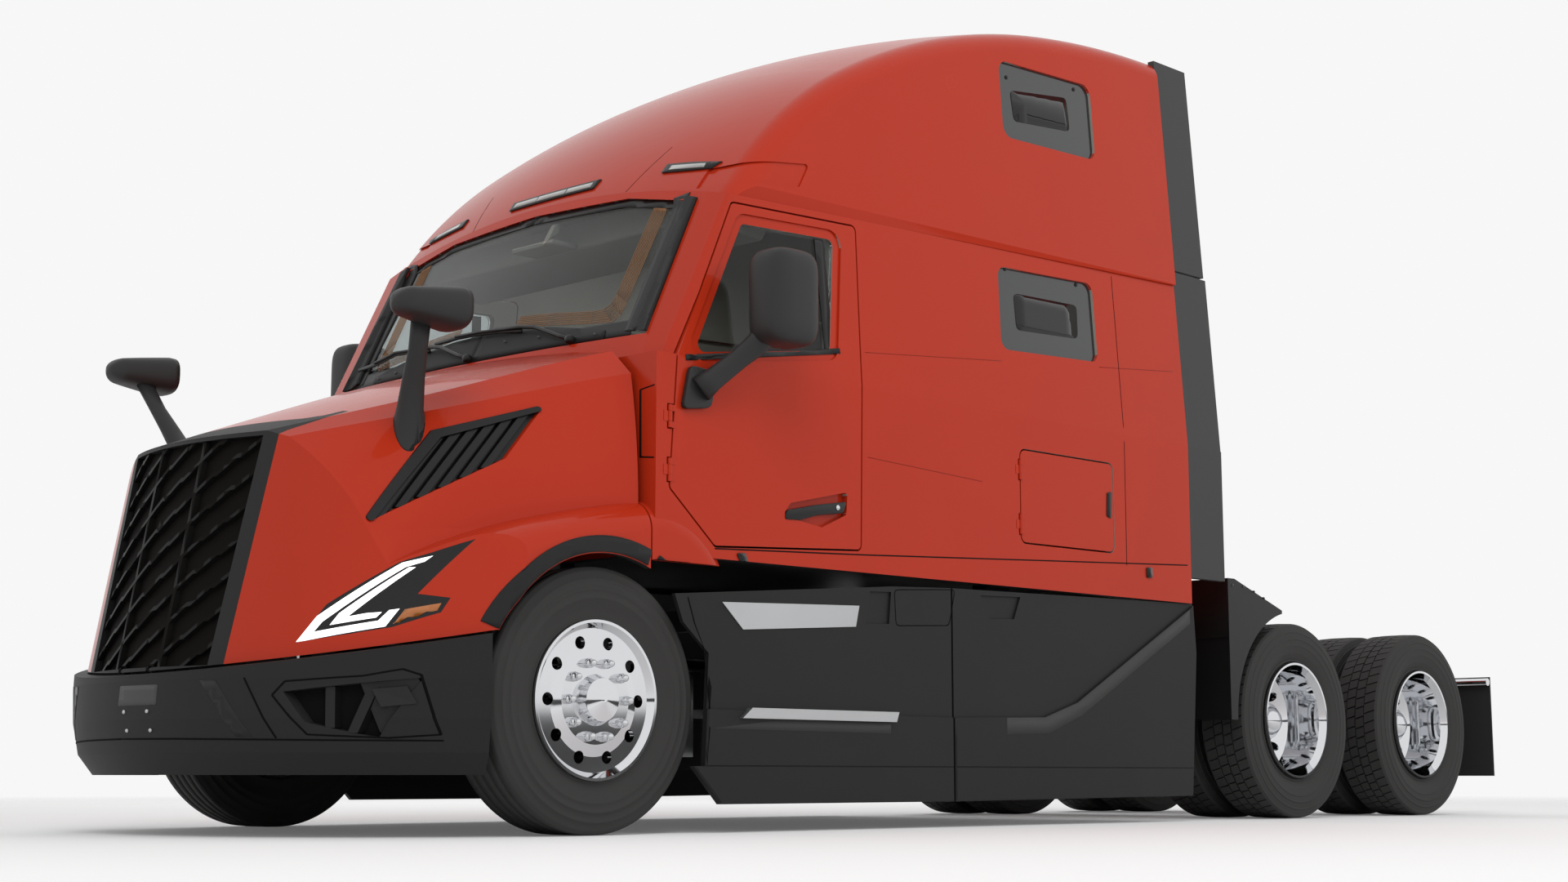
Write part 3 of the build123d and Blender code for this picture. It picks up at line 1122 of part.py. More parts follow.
with BuildPart() as side_extenders:
    for (z0, b0, x0), (z1, _, x1) in zip(EXTENDER[:-1], EXTENDER[1:]):
        base = z0 + (10 if z0 == EXTENDER_SPLIT else 0)
        with BuildSketch(front(b0)):
            with BuildLine():
                Polyline((x0, base), (x0 - EXTENDER_T, base), (x1 - EXTENDER_T, z1), (x1, z1), close=True)
            make_face()
        extrude(amount=b0 - CAB_BACK - SEAT_GAP)
    mirror(about=Plane.YZ)
save(side_extenders, "side_extenders")

# Blocks that carry the cab on the rails
with BuildPart() as cab_mounts:
    for station in (600.0, 3300.0):
        add(block(inner, FRAME_HALF_WIDTH, station - 90, station + 90,
                  FRAME_TOP + SEAT_GAP, FLOOR_TOP - FLOOR_T - SEAT_GAP))
    mirror(about=Plane.YZ)
save(cab_mounts, "cab_mounts")

QUARTER_IN = 575.0
QUARTER_OUT = 1205.0
QUARTER_T = 12.0
QUARTER_CLEAR = 55.0
QUARTER_REACH = DRIVE_TYRE_R + QUARTER_CLEAR
QUARTER_FACE = REAR_AXLES[0] - QUARTER_REACH - 60.0
QUARTER_BOTTOM = 500.0
QUARTER_TOP = 1215.0
QUARTER_END = REAR_AXLES[0] - 120.0
with BuildPart() as quarter_fenders:
    # Curved sheet over the tyre
    with BuildSketch(side(QUARTER_IN)):
        with Locations((REAR_AXLES[0], DRIVE_TYRE_R)):
            Circle(QUARTER_REACH + QUARTER_T)
            Circle(QUARTER_REACH, mode=Mode.SUBTRACT)
        with Locations((QUARTER_END + 2 * QUARTER_REACH, DRIVE_TYRE_R)):
            Rectangle(4 * QUARTER_REACH, 4 * QUARTER_REACH, mode=Mode.SUBTRACT)
        with Locations((REAR_AXLES[0], QUARTER_BOTTOM - 2 * QUARTER_REACH)):
            Rectangle(4 * QUARTER_REACH, 4 * QUARTER_REACH, mode=Mode.SUBTRACT)
    extrude(amount=QUARTER_OUT - QUARTER_IN)
    # Flat face across the gap in front of the tyre, with a groove, and the web down to the rail
    add(block(QUARTER_IN, QUARTER_OUT, QUARTER_FACE, QUARTER_FACE + QUARTER_T, QUARTER_BOTTOM, QUARTER_TOP))
    add(block(QUARTER_IN, QUARTER_OUT, QUARTER_FACE - 1, QUARTER_FACE + 5, 900.0, 914.0), mode=Mode.SUBTRACT)
    add(block(FRAME_HALF_WIDTH + SEAT_GAP, QUARTER_IN + 10, QUARTER_FACE, QUARTER_FACE + QUARTER_T,
              FRAME_TOP - 120, FRAME_TOP - 20))
    for height in (QUARTER_BOTTOM + 10, 700.0):
        add(block(QUARTER_IN, QUARTER_OUT, QUARTER_FACE + 2, QUARTER_FACE + 75, height, height + QUARTER_T)
            - cross_tube(QUARTER_REACH + 2, QUARTER_IN - 5, QUARTER_OUT + 5, REAR_AXLES[0], DRIVE_TYRE_R))
    # Outer cheek between the flat face and the curve
    with BuildSketch(side(QUARTER_OUT - QUARTER_T)):
        with BuildLine():
            Polyline((QUARTER_FACE, QUARTER_BOTTOM), (QUARTER_FACE, QUARTER_TOP), (QUARTER_FACE + 60, QUARTER_TOP),
                     (QUARTER_END, DRIVE_TYRE_R + QUARTER_REACH + 4), (QUARTER_END, QUARTER_BOTTOM), close=True)
        make_face()
        with Locations((REAR_AXLES[0], DRIVE_TYRE_R)):
            Circle(QUARTER_REACH, mode=Mode.SUBTRACT)
    extrude(amount=QUARTER_T)
    mirror(about=Plane.YZ)
save(quarter_fenders, "quarter_fenders")

FLAP_IN = 610.0
FLAP_OUT = 1200.0
FLAP_BOTTOM = 220.0
FLAP_TOP = 800.0
FLAP_T = 10.0
HANGER_R = 22.0
with BuildPart() as mud_flaps:
    add(block(FLAP_IN, FLAP_OUT, REAR_Y - FLAP_T, REAR_Y, FLAP_BOTTOM, FLAP_TOP))
    mirror(about=Plane.YZ)
save(mud_flaps, "mud_flaps")
with BuildPart() as flap_hangers:
    for sign in (1, -1):
        add(cross_tube(HANGER_R, min(sign * (web - 4), sign * FLAP_OUT), max(sign * (web - 4), sign * FLAP_OUT),
                       REAR_Y - FLAP_T - HANGER_R - SEAT_GAP, FLAP_TOP - 30))
    add(block(-FRAME_HALF_WIDTH, FRAME_HALF_WIDTH, RAIL_BACK + SEAT_GAP, RAIL_BACK + 12, FRAME_BOTTOM, FRAME_TOP))
    for sign in (1, -1):
        add(block(sign * (web - 30), sign * web, RAIL_BACK + 10, REAR_Y - FLAP_T - HANGER_R, FLAP_TOP - 60, FLAP_TOP))
save(flap_hangers, "flap_hangers")
with BuildPart() as tail_lamps:
    for sign in (1, -1):
        add(block(sign * 180, sign * 330, RAIL_BACK + 12 + SEAT_GAP, RAIL_BACK + 50, 800, 880))
save(tail_lamps, "tail_lamps")

# ---------------------------------------------------------------- fifth wheel
FIFTH_Y = WHEELBASE - 60.0
FIFTH_TOP = 1200.0
FIFTH_PIVOT_Z = 1120.0
FIFTH_R = 470.0
FIFTH_T = 40.0
FIFTH_PIN_R = 25.0
KINGPIN_JAW_R = 25.4
JAW_MOUTH = 120.0
FIFTH_CHEEK_X = 330.0
with BuildPart() as fifth_wheel_base:
    add(block(-web, web, FIFTH_Y - 330, FIFTH_Y + 330, FRAME_TOP + SEAT_GAP, FRAME_TOP + 16))
    for sign in (1, -1):
        with BuildSketch(side(min(sign * 300, sign * 360))):
            with BuildLine():
                Polyline((FIFTH_Y - 150, FRAME_TOP + 10), (FIFTH_Y + 150, FRAME_TOP + 10),
                         (FIFTH_Y + 40, FIFTH_PIVOT_Z + 25), (FIFTH_Y - 40, FIFTH_PIVOT_Z + 25), close=True)
            make_face()
            with Locations((FIFTH_Y, FIFTH_PIVOT_Z)):
                Circle(FIFTH_PIN_R + SHAFT_CLEARANCE, mode=Mode.SUBTRACT)
        extrude(amount=60)
save(fifth_wheel_base, "fifth_wheel_base")

with BuildPart() as fifth_wheel_plate:
    with BuildSketch(plan(FIFTH_TOP - FIFTH_T)):
        with Locations((0, FIFTH_Y)):
            Circle(FIFTH_R)
        with Locations((0, FIFTH_Y + FIFTH_R / 2)):
            Rectangle(2 * KINGPIN_JAW_R, FIFTH_R, mode=Mode.SUBTRACT)
        with Locations((0, FIFTH_Y)):
            Circle(KINGPIN_JAW_R, mode=Mode.SUBTRACT)
        with BuildLine():
            Polyline((KINGPIN_JAW_R, FIFTH_Y + 120), (JAW_MOUTH, FIFTH_Y + FIFTH_R),
                     (-JAW_MOUTH, FIFTH_Y + FIFTH_R), (-KINGPIN_JAW_R, FIFTH_Y + 120), close=True)
        make_face(mode=Mode.SUBTRACT)
    extrude(amount=FIFTH_T)
    for sign in (1, -1):
        for x in (285.0, 375.0):
            with BuildSketch(side(min(sign * (x - 8), sign * (x + 8)))):
                with Locations((FIFTH_Y, (FIFTH_PIVOT_Z + FIFTH_TOP - FIFTH_T) / 2)):
                    Rectangle(90, FIFTH_TOP - FIFTH_T - FIFTH_PIVOT_Z)
                with Locations((FIFTH_Y, FIFTH_PIVOT_Z)):
                    Circle(45)
            extrude(amount=16)
        add(cross_tube(FIFTH_PIN_R, min(sign * 280, sign * 383), max(sign * 280, sign * 383), FIFTH_Y,
                       FIFTH_PIVOT_Z))
save(fifth_wheel_plate, "fifth_wheel_plate")

# ---------------------------------------------------------------- mirrors on the doors
MIRROR_X = (1325.0, 1545.0)
MIRROR_Y = (590.0, 860.0)
MIRROR_Z = (1900.0, 2290.0)
MIRROR_BASE_Y = 450.0
MIRROR_BASE_Z = 1720.0
# Width and depth of the housing up its height.  columns: height, width, depth, corner radius
MIRROR_FRAMES = [(MIRROR_Z[0], 150.0, 170.0, 40.0), (MIRROR_Z[0] + 60, 215.0, 262.0, 60.0),
                 (MIRROR_Z[1] - 70, 215.0, 262.0, 60.0), (MIRROR_Z[1], 165.0, 190.0, 45.0)]
MIRROR_GLASS_DEPTH = 14.0
for side_name, sign in (("left", 1), ("right", -1)):
    with BuildPart() as mirror_form:
        middle = ((MIRROR_X[0] + MIRROR_X[1]) / 2, (MIRROR_Y[0] + MIRROR_Y[1]) / 2)
        for height, width, depth, corner in MIRROR_FRAMES:
            with BuildSketch(plan(height)):
                with Locations(middle):
                    RectangleRounded(width, depth, corner)
        loft(ruled=True)
        # Flat back with the sunk mirror glass
        add(block(MIRROR_X[0] - 20, MIRROR_X[1] + 20, MIRROR_Y[1] - 25, MIRROR_Y[1] + 60, *MIRROR_Z),
            mode=Mode.SUBTRACT)
        add(block(MIRROR_X[0] + 28, MIRROR_X[1] - 28, MIRROR_Y[1] - 25 - MIRROR_GLASS_DEPTH, MIRROR_Y[1],
                  MIRROR_Z[0] + 60, MIRROR_Z[1] - 70), mode=Mode.SUBTRACT)
        skin_x = hinge_x(MIRROR_BASE_Y) - HINGE_PROUD + 3 * SEAT_GAP
        with BuildSketch(side(skin_x)):
            with BuildLine():
                Polyline((365.0, 1632.0), (520.0, 1652.0), (545.0, 1800.0), (405.0, 1812.0), close=True)
            make_face()
        extrude(amount=26)
        with BuildSketch(side(skin_x + 20)):
            with Locations((MIRROR_BASE_Y + 20, MIRROR_BASE_Z + 10)):
                Ellipse(55, 45)
        with BuildSketch(side(MIRROR_X[0] + 60)):
            with Locations((665, MIRROR_Z[0] + 35)):
                Ellipse(60, 34)
        loft(ruled=True)
    with BuildPart() as door_mirror:
        add(place(mirror_form.part, sign))
    save(door_mirror, "mirror_" + side_name)

# ---------------------------------------------------------------- inside the cab
SEAT_X = 560.0
SEAT_Y = (1080.0, 1580.0)
with BuildPart() as seats:
    add(block(SEAT_X - 255, SEAT_X + 255, SEAT_Y[0], SEAT_Y[1], FLOOR_TOP + 330, FLOOR_TOP + 470))
    add(block(SEAT_X - 250, SEAT_X + 250, SEAT_Y[1] - 20, SEAT_Y[1] + 130, FLOOR_TOP + 430, FLOOR_TOP + 1130))
    add(block(SEAT_X - 170, SEAT_X + 170, SEAT_Y[0] + 90, SEAT_Y[1] - 90, FLOOR_TOP + SEAT_GAP, FLOOR_TOP + 340))
    mirror(about=Plane.YZ)
save(seats, "seats")

DASH_HALF = 1050.0
# Dashboard outline, side view.  columns: station, height
DASH = [(FIREWALL + WALL + 10, FLOOR_TOP + SEAT_GAP), (520.0, FLOOR_TOP + SEAT_GAP), (560.0, 1600.0), (760.0, 1700.0),
        (740.0, 1840.0), (500.0, 1925.0), (FIREWALL + WALL + 125, 1890.0), (FIREWALL + WALL + 10, 1780.0)]
with BuildPart() as dashboard:
    with BuildSketch(side(-DASH_HALF)):
        with BuildLine():
            Polyline(*DASH, close=True)
        make_face()
    extrude(amount=2 * DASH_HALF)
save(dashboard, "dashboard")

WHEEL_CENTRE = (SEAT_X, 905.0, 1905.0)
with BuildPart() as steering_wheel:
    tilt = Plane(origin=(WHEEL_CENTRE[0], FRONT_AXLE_Y + WHEEL_CENTRE[1], WHEEL_CENTRE[2]),
                 x_dir=(1, 0, 0), z_dir=(0, 0.55, 0.83))
    with BuildSketch(tilt):
        Circle(230)
        Circle(198, mode=Mode.SUBTRACT)
    extrude(amount=30)
    with BuildSketch(tilt):
        Circle(70)
        with Locations((0, 0)):
            Rectangle(410, 40)
    extrude(amount=24)
    with BuildSketch(tilt):
        Circle(40)
    extrude(amount=-260)
    with BuildSketch(side(-1500)):
        with BuildLine():
            Polyline(*DASH, close=True)
        make_face()
        offset(amount=SEAT_GAP, kind=Kind.INTERSECTION)
    extrude(amount=3000, mode=Mode.SUBTRACT)
    add(block(-2000, 2000, 0, 700, 0, 4000), mode=Mode.SUBTRACT)
save(steering_wheel, "steering_wheel")

BUNK_Y = (2560.0, CAB_BACK - WALL - 20)
BUNK_TOP = 1830.0
with BuildPart() as bunk_base:
    add(block(-1080, 1080, BUNK_Y[0], BUNK_Y[1], 1740, BUNK_TOP - 40))
    add(block(-60, 60, BUNK_Y[0], BUNK_Y[1], FLOOR_TOP + SEAT_GAP, 1745))
save(bunk_base, "bunk_base")
with BuildPart() as mattress:
    add(block(-1060, 1060, BUNK_Y[0] + 30, BUNK_Y[1] - 20, BUNK_TOP - 40 + SEAT_GAP, BUNK_TOP + 130))
save(mattress, "mattress")
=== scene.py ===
import json
import math
import bmesh
import bpy
from mathutils import Matrix, Vector
from mathutils.bvhtree import BVHTree


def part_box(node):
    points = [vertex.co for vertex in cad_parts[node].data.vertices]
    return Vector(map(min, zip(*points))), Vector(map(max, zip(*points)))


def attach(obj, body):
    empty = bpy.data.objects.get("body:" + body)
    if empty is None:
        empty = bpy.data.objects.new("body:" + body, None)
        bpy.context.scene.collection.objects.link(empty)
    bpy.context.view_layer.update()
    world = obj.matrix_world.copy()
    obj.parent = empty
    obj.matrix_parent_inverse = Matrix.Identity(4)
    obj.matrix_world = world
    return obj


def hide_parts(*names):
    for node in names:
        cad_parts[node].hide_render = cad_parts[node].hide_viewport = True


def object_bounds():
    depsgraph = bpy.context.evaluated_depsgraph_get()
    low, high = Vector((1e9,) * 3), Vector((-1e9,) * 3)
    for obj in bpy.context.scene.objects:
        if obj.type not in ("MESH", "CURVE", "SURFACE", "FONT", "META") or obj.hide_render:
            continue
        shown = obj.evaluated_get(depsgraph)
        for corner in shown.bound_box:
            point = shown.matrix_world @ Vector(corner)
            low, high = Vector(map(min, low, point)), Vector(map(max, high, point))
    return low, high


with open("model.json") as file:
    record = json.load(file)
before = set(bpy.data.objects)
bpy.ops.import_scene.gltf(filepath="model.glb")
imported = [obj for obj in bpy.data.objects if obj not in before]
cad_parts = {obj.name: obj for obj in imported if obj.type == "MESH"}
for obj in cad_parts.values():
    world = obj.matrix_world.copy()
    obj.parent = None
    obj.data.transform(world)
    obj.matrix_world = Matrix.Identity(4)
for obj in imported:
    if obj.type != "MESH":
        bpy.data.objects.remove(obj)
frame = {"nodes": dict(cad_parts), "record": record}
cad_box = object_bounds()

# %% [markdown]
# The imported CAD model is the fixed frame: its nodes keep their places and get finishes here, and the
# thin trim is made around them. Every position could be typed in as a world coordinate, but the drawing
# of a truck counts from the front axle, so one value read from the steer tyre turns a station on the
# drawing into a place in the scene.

X, Y, Z = Vector((1, 0, 0)), Vector((0, 1, 0)), Vector((0, 0, 1))
SIDES = (("left", 1), ("right", -1))
low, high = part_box("tyre_front_left")
AXLE_Y = (low.y + high.y) / 2
STEER_R = (high.z - low.z) / 2
drive_low, drive_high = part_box("tyres_drive_1_left")
DRIVE_R = (drive_high.z - drive_low.z) / 2
print("front axle at y", round(AXLE_Y, 3), "wheel radii", round(STEER_R, 3), round(DRIVE_R, 3))


def spot(x, station, z):
    """A place given by width, distance behind the front axle and height."""
    return Vector((x, AXLE_Y + station, z))


# %% [markdown]
# A long lens set low makes the tractor tower over the viewer. The camera could be framed by eye; here
# it has a place, a heading and a pitch as a tripod would, so the horizon stays level.

# %% Camera
CAMERA_AT = Vector((7.521, -8.368, 0.217))
CAMERA_HEADING = math.radians(44.22)
CAMERA_PITCH = math.radians(8.51)
CAMERA_LENS = 51.46
CAMERA_FAR = 200.0


def put(name, data):
    """A new object in the scene."""
    thing = bpy.data.objects.new(name, data)
    bpy.context.scene.collection.objects.link(thing)
    return thing


camera_data = bpy.data.cameras.new("camera")
camera_data.sensor_width = 36.0
camera_data.lens = CAMERA_LENS
camera_data.clip_end = CAMERA_FAR
camera = put("camera", camera_data)
looking = Vector((-math.sin(CAMERA_HEADING) * math.cos(CAMERA_PITCH),
                  math.cos(CAMERA_HEADING) * math.cos(CAMERA_PITCH), math.sin(CAMERA_PITCH)))
camera.location = CAMERA_AT
camera.rotation_euler = looking.to_track_quat("-Z", "Y").to_euler()
bpy.context.scene.camera = camera
bpy.context.scene.view_settings.view_transform = "Standard"
print("camera looks along", [round(v, 3) for v in looking])

# %% [markdown]
# Paint, moulded plastic and rubber all vary a little over a surface. Each could carry its own copy of
# the noise, but one node group with inputs for scale and depth is tuned once and reads the same in
# every finish. It gives out only values that change over the surface.

# %% Surface grain group
BROAD_SCALE = 2.3
BROAD_DETAIL = 5.0


def make(tree, *kinds):
    """New shader nodes of those kinds."""
    return [tree.nodes.new("ShaderNode" + kind) for kind in kinds]


def fill(node, values):
    """Sets a node's own numbers and colours."""
    for key, value in values.items():
        node.inputs[key].default_value = value


def wire(tree, *rows):
    """Joins nodes. Each row is a node, its output, the next node and the input there."""
    for node, output, onward, entry in rows:
        tree.links.new(node.outputs[output], onward.inputs[entry])


def grain_group():
    group = bpy.data.node_groups.new("surface_grain", "ShaderNodeTree")
    for way, names in (("INPUT", ("Scale", "Tone Spread", "Roughness", "Roughness Spread")),
                       ("OUTPUT", ("Tone", "Roughness", "Height"))):
        for name in names:
            group.interface.new_socket(name, in_out=way, socket_type="NodeSocketFloat")
    inside, outside = group.nodes.new("NodeGroupInput"), group.nodes.new("NodeGroupOutput")
    place, fine, broad = make(group, "TexCoord", "TexNoise", "TexNoise")
    tone, rough, spread = make(group, "MapRange", "Math", "Math")
    fill(broad, {"Scale": BROAD_SCALE, "Detail": BROAD_DETAIL})
    fill(tone, {"To Max": 1.0})
    fill(spread, {0: 1.0})
    spread.operation = "SUBTRACT"
    rough.operation = "MULTIPLY_ADD"
    wire(group, (inside, "Scale", fine, "Scale"), (place, "Object", fine, "Vector"),
         (place, "Object", broad, "Vector"), (inside, "Tone Spread", spread, 1), (spread, 0, tone, "To Min"),
         (broad, "Fac", tone, "Value"), (broad, "Fac", rough, 0), (inside, "Roughness Spread", rough, 1),
         (inside, "Roughness", rough, 2), (tone, "Result", outside, "Tone"),
         (rough, 0, outside, "Roughness"), (fine, "Fac", outside, "Height"))
    return group


GRAIN = grain_group()
print("grain group sockets", len(GRAIN.interface.items_tree))

# %% [markdown]
# Every finish is one Principled shader fed by the grain group. A library of ready materials would be
# quicker, but then the flake in the paint and the pebble in the plastic could not be set apart. Where a
# finish has no spread, its plain number stays on the shader's own socket.

# %% Finish maker
COAT_ROUGHNESS = 0.04
RELIEF_DEPTH = 0.001


def finish(name, colour, roughness, scale=300.0, tone=0.1, spread=0.08, bump=0.05, metallic=0.0, coat=0.0,
           glow=0.0, glass=0.0, sheen=0.0, specular=0.5, ior=1.5):
    """A colour that is one number is a grey."""
    colour = (*colour, 1.0) if isinstance(colour, tuple) else (colour, colour, colour, 1.0)
    material = bpy.data.materials.new(name)
    material.use_nodes = True
    tree = material.node_tree
    shader = tree.nodes["Principled BSDF"]
    fill(shader, {"Base Color": colour, "Roughness": roughness, "Metallic": metallic, "IOR": ior,
                  "Specular IOR Level": specular, "Coat Weight": coat, "Coat Roughness": COAT_ROUGHNESS,
                  "Transmission Weight": glass, "Sheen Weight": sheen})
    if glow:
        fill(shader, {"Emission Color": colour, "Emission Strength": glow})
    if tone or spread or bump:
        grain = make(tree, "Group")[0]
        grain.node_tree = GRAIN
        fill(grain, {"Scale": scale, "Tone Spread": tone, "Roughness": roughness,
                     "Roughness Spread": spread})
    if tone:
        mix = make(tree, "Mix")[0]
        mix.data_type, mix.blend_type = "RGBA", "MULTIPLY"
        fill(mix, {"Factor": 1.0, "A": colour})
        wire(tree, (grain, "Tone", mix, "B"), (mix, "Result", shader, "Base Color"))
    if spread:
        wire(tree, (grain, "Roughness", shader, "Roughness"))
    if bump:
        relief = make(tree, "Bump")[0]
        fill(relief, {"Strength": bump, "Distance": RELIEF_DEPTH})
        wire(tree, (grain, "Height", relief, "Height"), (relief, "Normal", shader, "Normal"))
    return material


EVEN = {"tone": 0, "spread": 0, "bump": 0}
FINISHES = {
    # One for each slot of the record
    "body_red": finish("red_body_paint", (0.47, 0.03, 0.009), 0.24, 900, 0.07, 0.05, 0.0, coat=0.26,
                       specular=0.08),
    "trim_grey": finish("satin_dark_plastic", 0.0125, 0.5, 1400, 0.2, 0.12, 0.3, specular=0.3),
    "trim_black": finish("black_plastic", 0.008, 0.32, 900, 0.18, 0.1, 0.12, specular=0.35),
    "lamp": finish("smoked_lamp_lens", (0.01, 0.01, 0.011), 0.06, **EVEN, specular=0.3),
    "lamp_red": finish("red_lamp_lens", (0.42, 0.012, 0.01), 0.12, 400, 0.1, 0.03, 0.02, coat=1.0),
    "chassis": finish("black_chassis_paint", (0.014, 0.014, 0.015), 0.42, 500, 0.25, 0.14, 0.12),
    "cast": finish("painted_casting", (0.024, 0.024, 0.026), 0.55, 260, 0.25, 0.14, 0.45),
    "chrome": finish("polished_chrome", (0.74, 0.75, 0.77), 0.045, 500, 0.05, 0.03, 0.0, metallic=1.0),
    "alloy": finish("brushed_step_alloy", (0.62, 0.63, 0.64), 0.36, 700, 0.14, 0.12, 0.18, metallic=1.0),
    "tyre": finish("tyre_rubber", (0.043, 0.042, 0.041), 0.68, 520, 0.25, 0.12, 0.35, specular=0.3),
    "rubber": finish("flap_rubber", 0.014, 0.58, 600, 0.18, 0.12, 0.25),
    "seat_fabric": finish("seat_cloth", (0.13, 0.12, 0.108), 0.85, 1600, 0.25, 0.1, 0.6, sheen=0.3),
    "interior": finish("cab_lining", (0.33, 0.31, 0.275), 0.66, 1100, 0.14, 0.12, 0.3, specular=0.3),
    "glass": finish("tinted_window_glass", (0.52, 0.56, 0.56), 0.0, **EVEN, glass=1.0, ior=1.26),
    # Tones within a slot: some are a part's own colour, some are painted shade or painted highlight
    "led": finish("white_light_strip", 1.0, 0.2, **EVEN, glow=1.1),
    "amber": finish("amber_lens", (0.55, 0.17, 0.03), 0.14, 340, 0.35, 0.05, 0.2, coat=0.6),
    "marker": finish("pale_marker_lens", (0.52, 0.52, 0.5), 0.2, 260, 0.35, 0.05, 0.3, coat=0.6),
    "seam": finish("panel_seam_shadow", (0.016, 0.006, 0.005), 0.7, 300, 0.2, 0.1, 0.0, specular=0.1),
    # darker red: painted shade along the sleeper's creases
    "crease_shade": finish("painted_crease_shade_red", (0.27, 0.016, 0.006), 0.3, 900, 0.1, 0.05, 0.0, specular=0.12),
    "pane": finish("dark_fixed_pane", (0.022, 0.023, 0.024), 0.1, 300, 0.15, 0.05, 0.0, coat=0.5),
    "gloss": finish("inner_pane_gloss", (0.012, 0.012, 0.013), 0.05, **EVEN, specular=0.4),
    "wire": finish("amber_wire", (0.3, 0.14, 0.05), 0.5, 300, 0.2, 0.1, 0.0),
    # near black: painted shade in the vent mouths, and the dark of the grooves
    "mouth": finish("vent_mouth_shadow", 0.004, 0.8, 200, 0.2, 0.1, 0.0, specular=0.1),
    "edge": finish("satin_edge_highlight", 0.05, 0.42, 1200, 0.2, 0.1, 0.15),
    # pale grey: the side extenders' own colour, and painted highlight on the skirt bevels
    "panel": finish("pale_grey_panel_and_highlight", 0.052, 0.52, 1400, 0.2, 0.12, 0.3, specular=0.3),
    "housing": finish("mirror_housing_plastic", 0.024, 0.42, 1500, 0.18, 0.12, 0.25, specular=0.35),
    "lattice": finish("black_lattice_plastic", (0.0085, 0.008, 0.0075), 0.4, 900, 0.2, 0.1, 0.1,
                      specular=0.14),
    "backing": finish("grille_backing_mesh", (0.006, 0.0048, 0.004), 0.65, 420, 0.5, 0.1, 0.6,
                      specular=0.08),
}

# Lamps and sky light the cab through the glass: to shadow and diffuse rays a pane is a tinted opening
PANE_OPENING = (0.76, 0.79, 0.79, 1.0)
tree = FINISHES["glass"].node_tree
rays, opening, either, choose = make(tree, "LightPath", "BsdfTransparent", "Math", "MixShader")
fill(opening, {"Color": PANE_OPENING})
either.operation = "MAXIMUM"
wire(tree, (rays, "Is Shadow Ray", either, 0), (rays, "Is Diffuse Ray", either, 1), (either, 0, choose, 0),
     (tree.nodes["Principled BSDF"], 0, choose, 1), (opening, 0, choose, 2),
     (choose, 0, tree.nodes["Material Output"], "Surface"))
print("finishes", len(FINISHES))

# %% [markdown]
# The record says which slot each node belongs to, so finishes follow the drawing and not a second list.
# Only a few mouldings have a tone of their own.

# %% Finishes on the CAD nodes
OWN_TONE = {"side_extenders": "panel", "grille": "lattice", "hood_vents": "trim_black",
            "sleeper_windows": "pane", "bumper_vents": "trim_grey"}
for part in frame["record"]["subparts"]:
    mesh = frame["nodes"][part["node"]].data
    mesh.materials.clear()
    mesh.materials.append(FINISHES[OWN_TONE.get(part["node"], part["material_slot"])])

# %% [markdown]
# Inside, the cab is lined and not painted, and the sleeper windows have their blinds down. A second shell
# could be built, but the same walls can carry both finishes: a face that looks across the cab at another
# wall or window is an inner one. A face that looks down at the road has the black of the chassis, and so
# has the inside of a wheel arch.

# %% Cab lining
CAB_NODES = "cab_shell roof_fairing door_left door_right sleeper_windows"
CAB_GLASS = "windshield door_glass_left door_glass_right"
ROOM_ACROSS = (0.22, 3.6)
CLEAR_OF_WALL = 0.004
FLOOR_UNDERSIDE = 1.2
ARCH_REACH = 0.552
# Parts of a face's normal: how far it has to look down, or forwards, and the most it may look sideways
LOOKS_DOWN, LOOKS_FORWARD, SIDEWAYS = -0.9, -0.5, 0.5


def surface_of(names):
    """The surface of one node or more, their names parted by spaces."""
    points, faces = [], []
    for name in names.split():
        mesh = frame["nodes"][name].data
        base = len(points)
        points += [v.co.copy() for v in mesh.vertices]
        faces += [[base + k for k in p.vertices] for p in mesh.polygons]
    return BVHTree.FromPolygons(points, faces)


def with_more(name, *looks):
    """A node's mesh with more finishes after its own, as slots 1, 2 and so on."""
    mesh = frame["nodes"][name].data
    for look in looks:
        mesh.materials.append(FINISHES[look])
    return mesh


walls = surface_of(CAB_NODES + " " + CAB_GLASS)
lined = 0
for name in CAB_NODES.split():
    for face in with_more(name, "interior", "chassis").polygons:
        across = walls.ray_cast(face.center + face.normal * CLEAR_OF_WALL, face.normal)[3]
        if face.normal.z < LOOKS_DOWN and face.center.z < FLOOR_UNDERSIDE:
            face.material_index = 2
        elif across and ROOM_ACROSS[0] < across < ROOM_ACROSS[1]:
            face.material_index = 1
            lined += 1
for name in ("hood_shell", "cowl_panels"):
    for face in with_more(name, "chassis").polygons:
        out = Vector((0, face.center.y - AXLE_Y, face.center.z - STEER_R))
        if out.length < ARCH_REACH and face.normal.dot(out) < 0 and abs(face.normal.x) < SIDEWAYS:
            face.material_index = 1
print("lined faces", lined)

# %% [markdown]
# Behind the lattice lies a fine dark mesh. It is the back wall of the same node, so its faces are told
# from the bars by depth: in each small square of the front, whatever lies well behind the foremost face.

# %% Mesh behind the lattice
SQUARE = 0.11
BEHIND = 0.01


def square(face):
    return round(face.center.x / SQUARE), round(face.center.z / SQUARE)


facing = [f for f in with_more("grille", "backing").polygons if f.normal.y < LOOKS_FORWARD]
foremost = {}
for face in facing:
    foremost[square(face)] = min(foremost.get(square(face), face.center.y), face.center.y)
for face in facing:
    if face.center.y > foremost[square(face)] + BEHIND:
        face.material_index = 1
print("facing", len(facing), "backing", sum(f.material_index for f in facing))
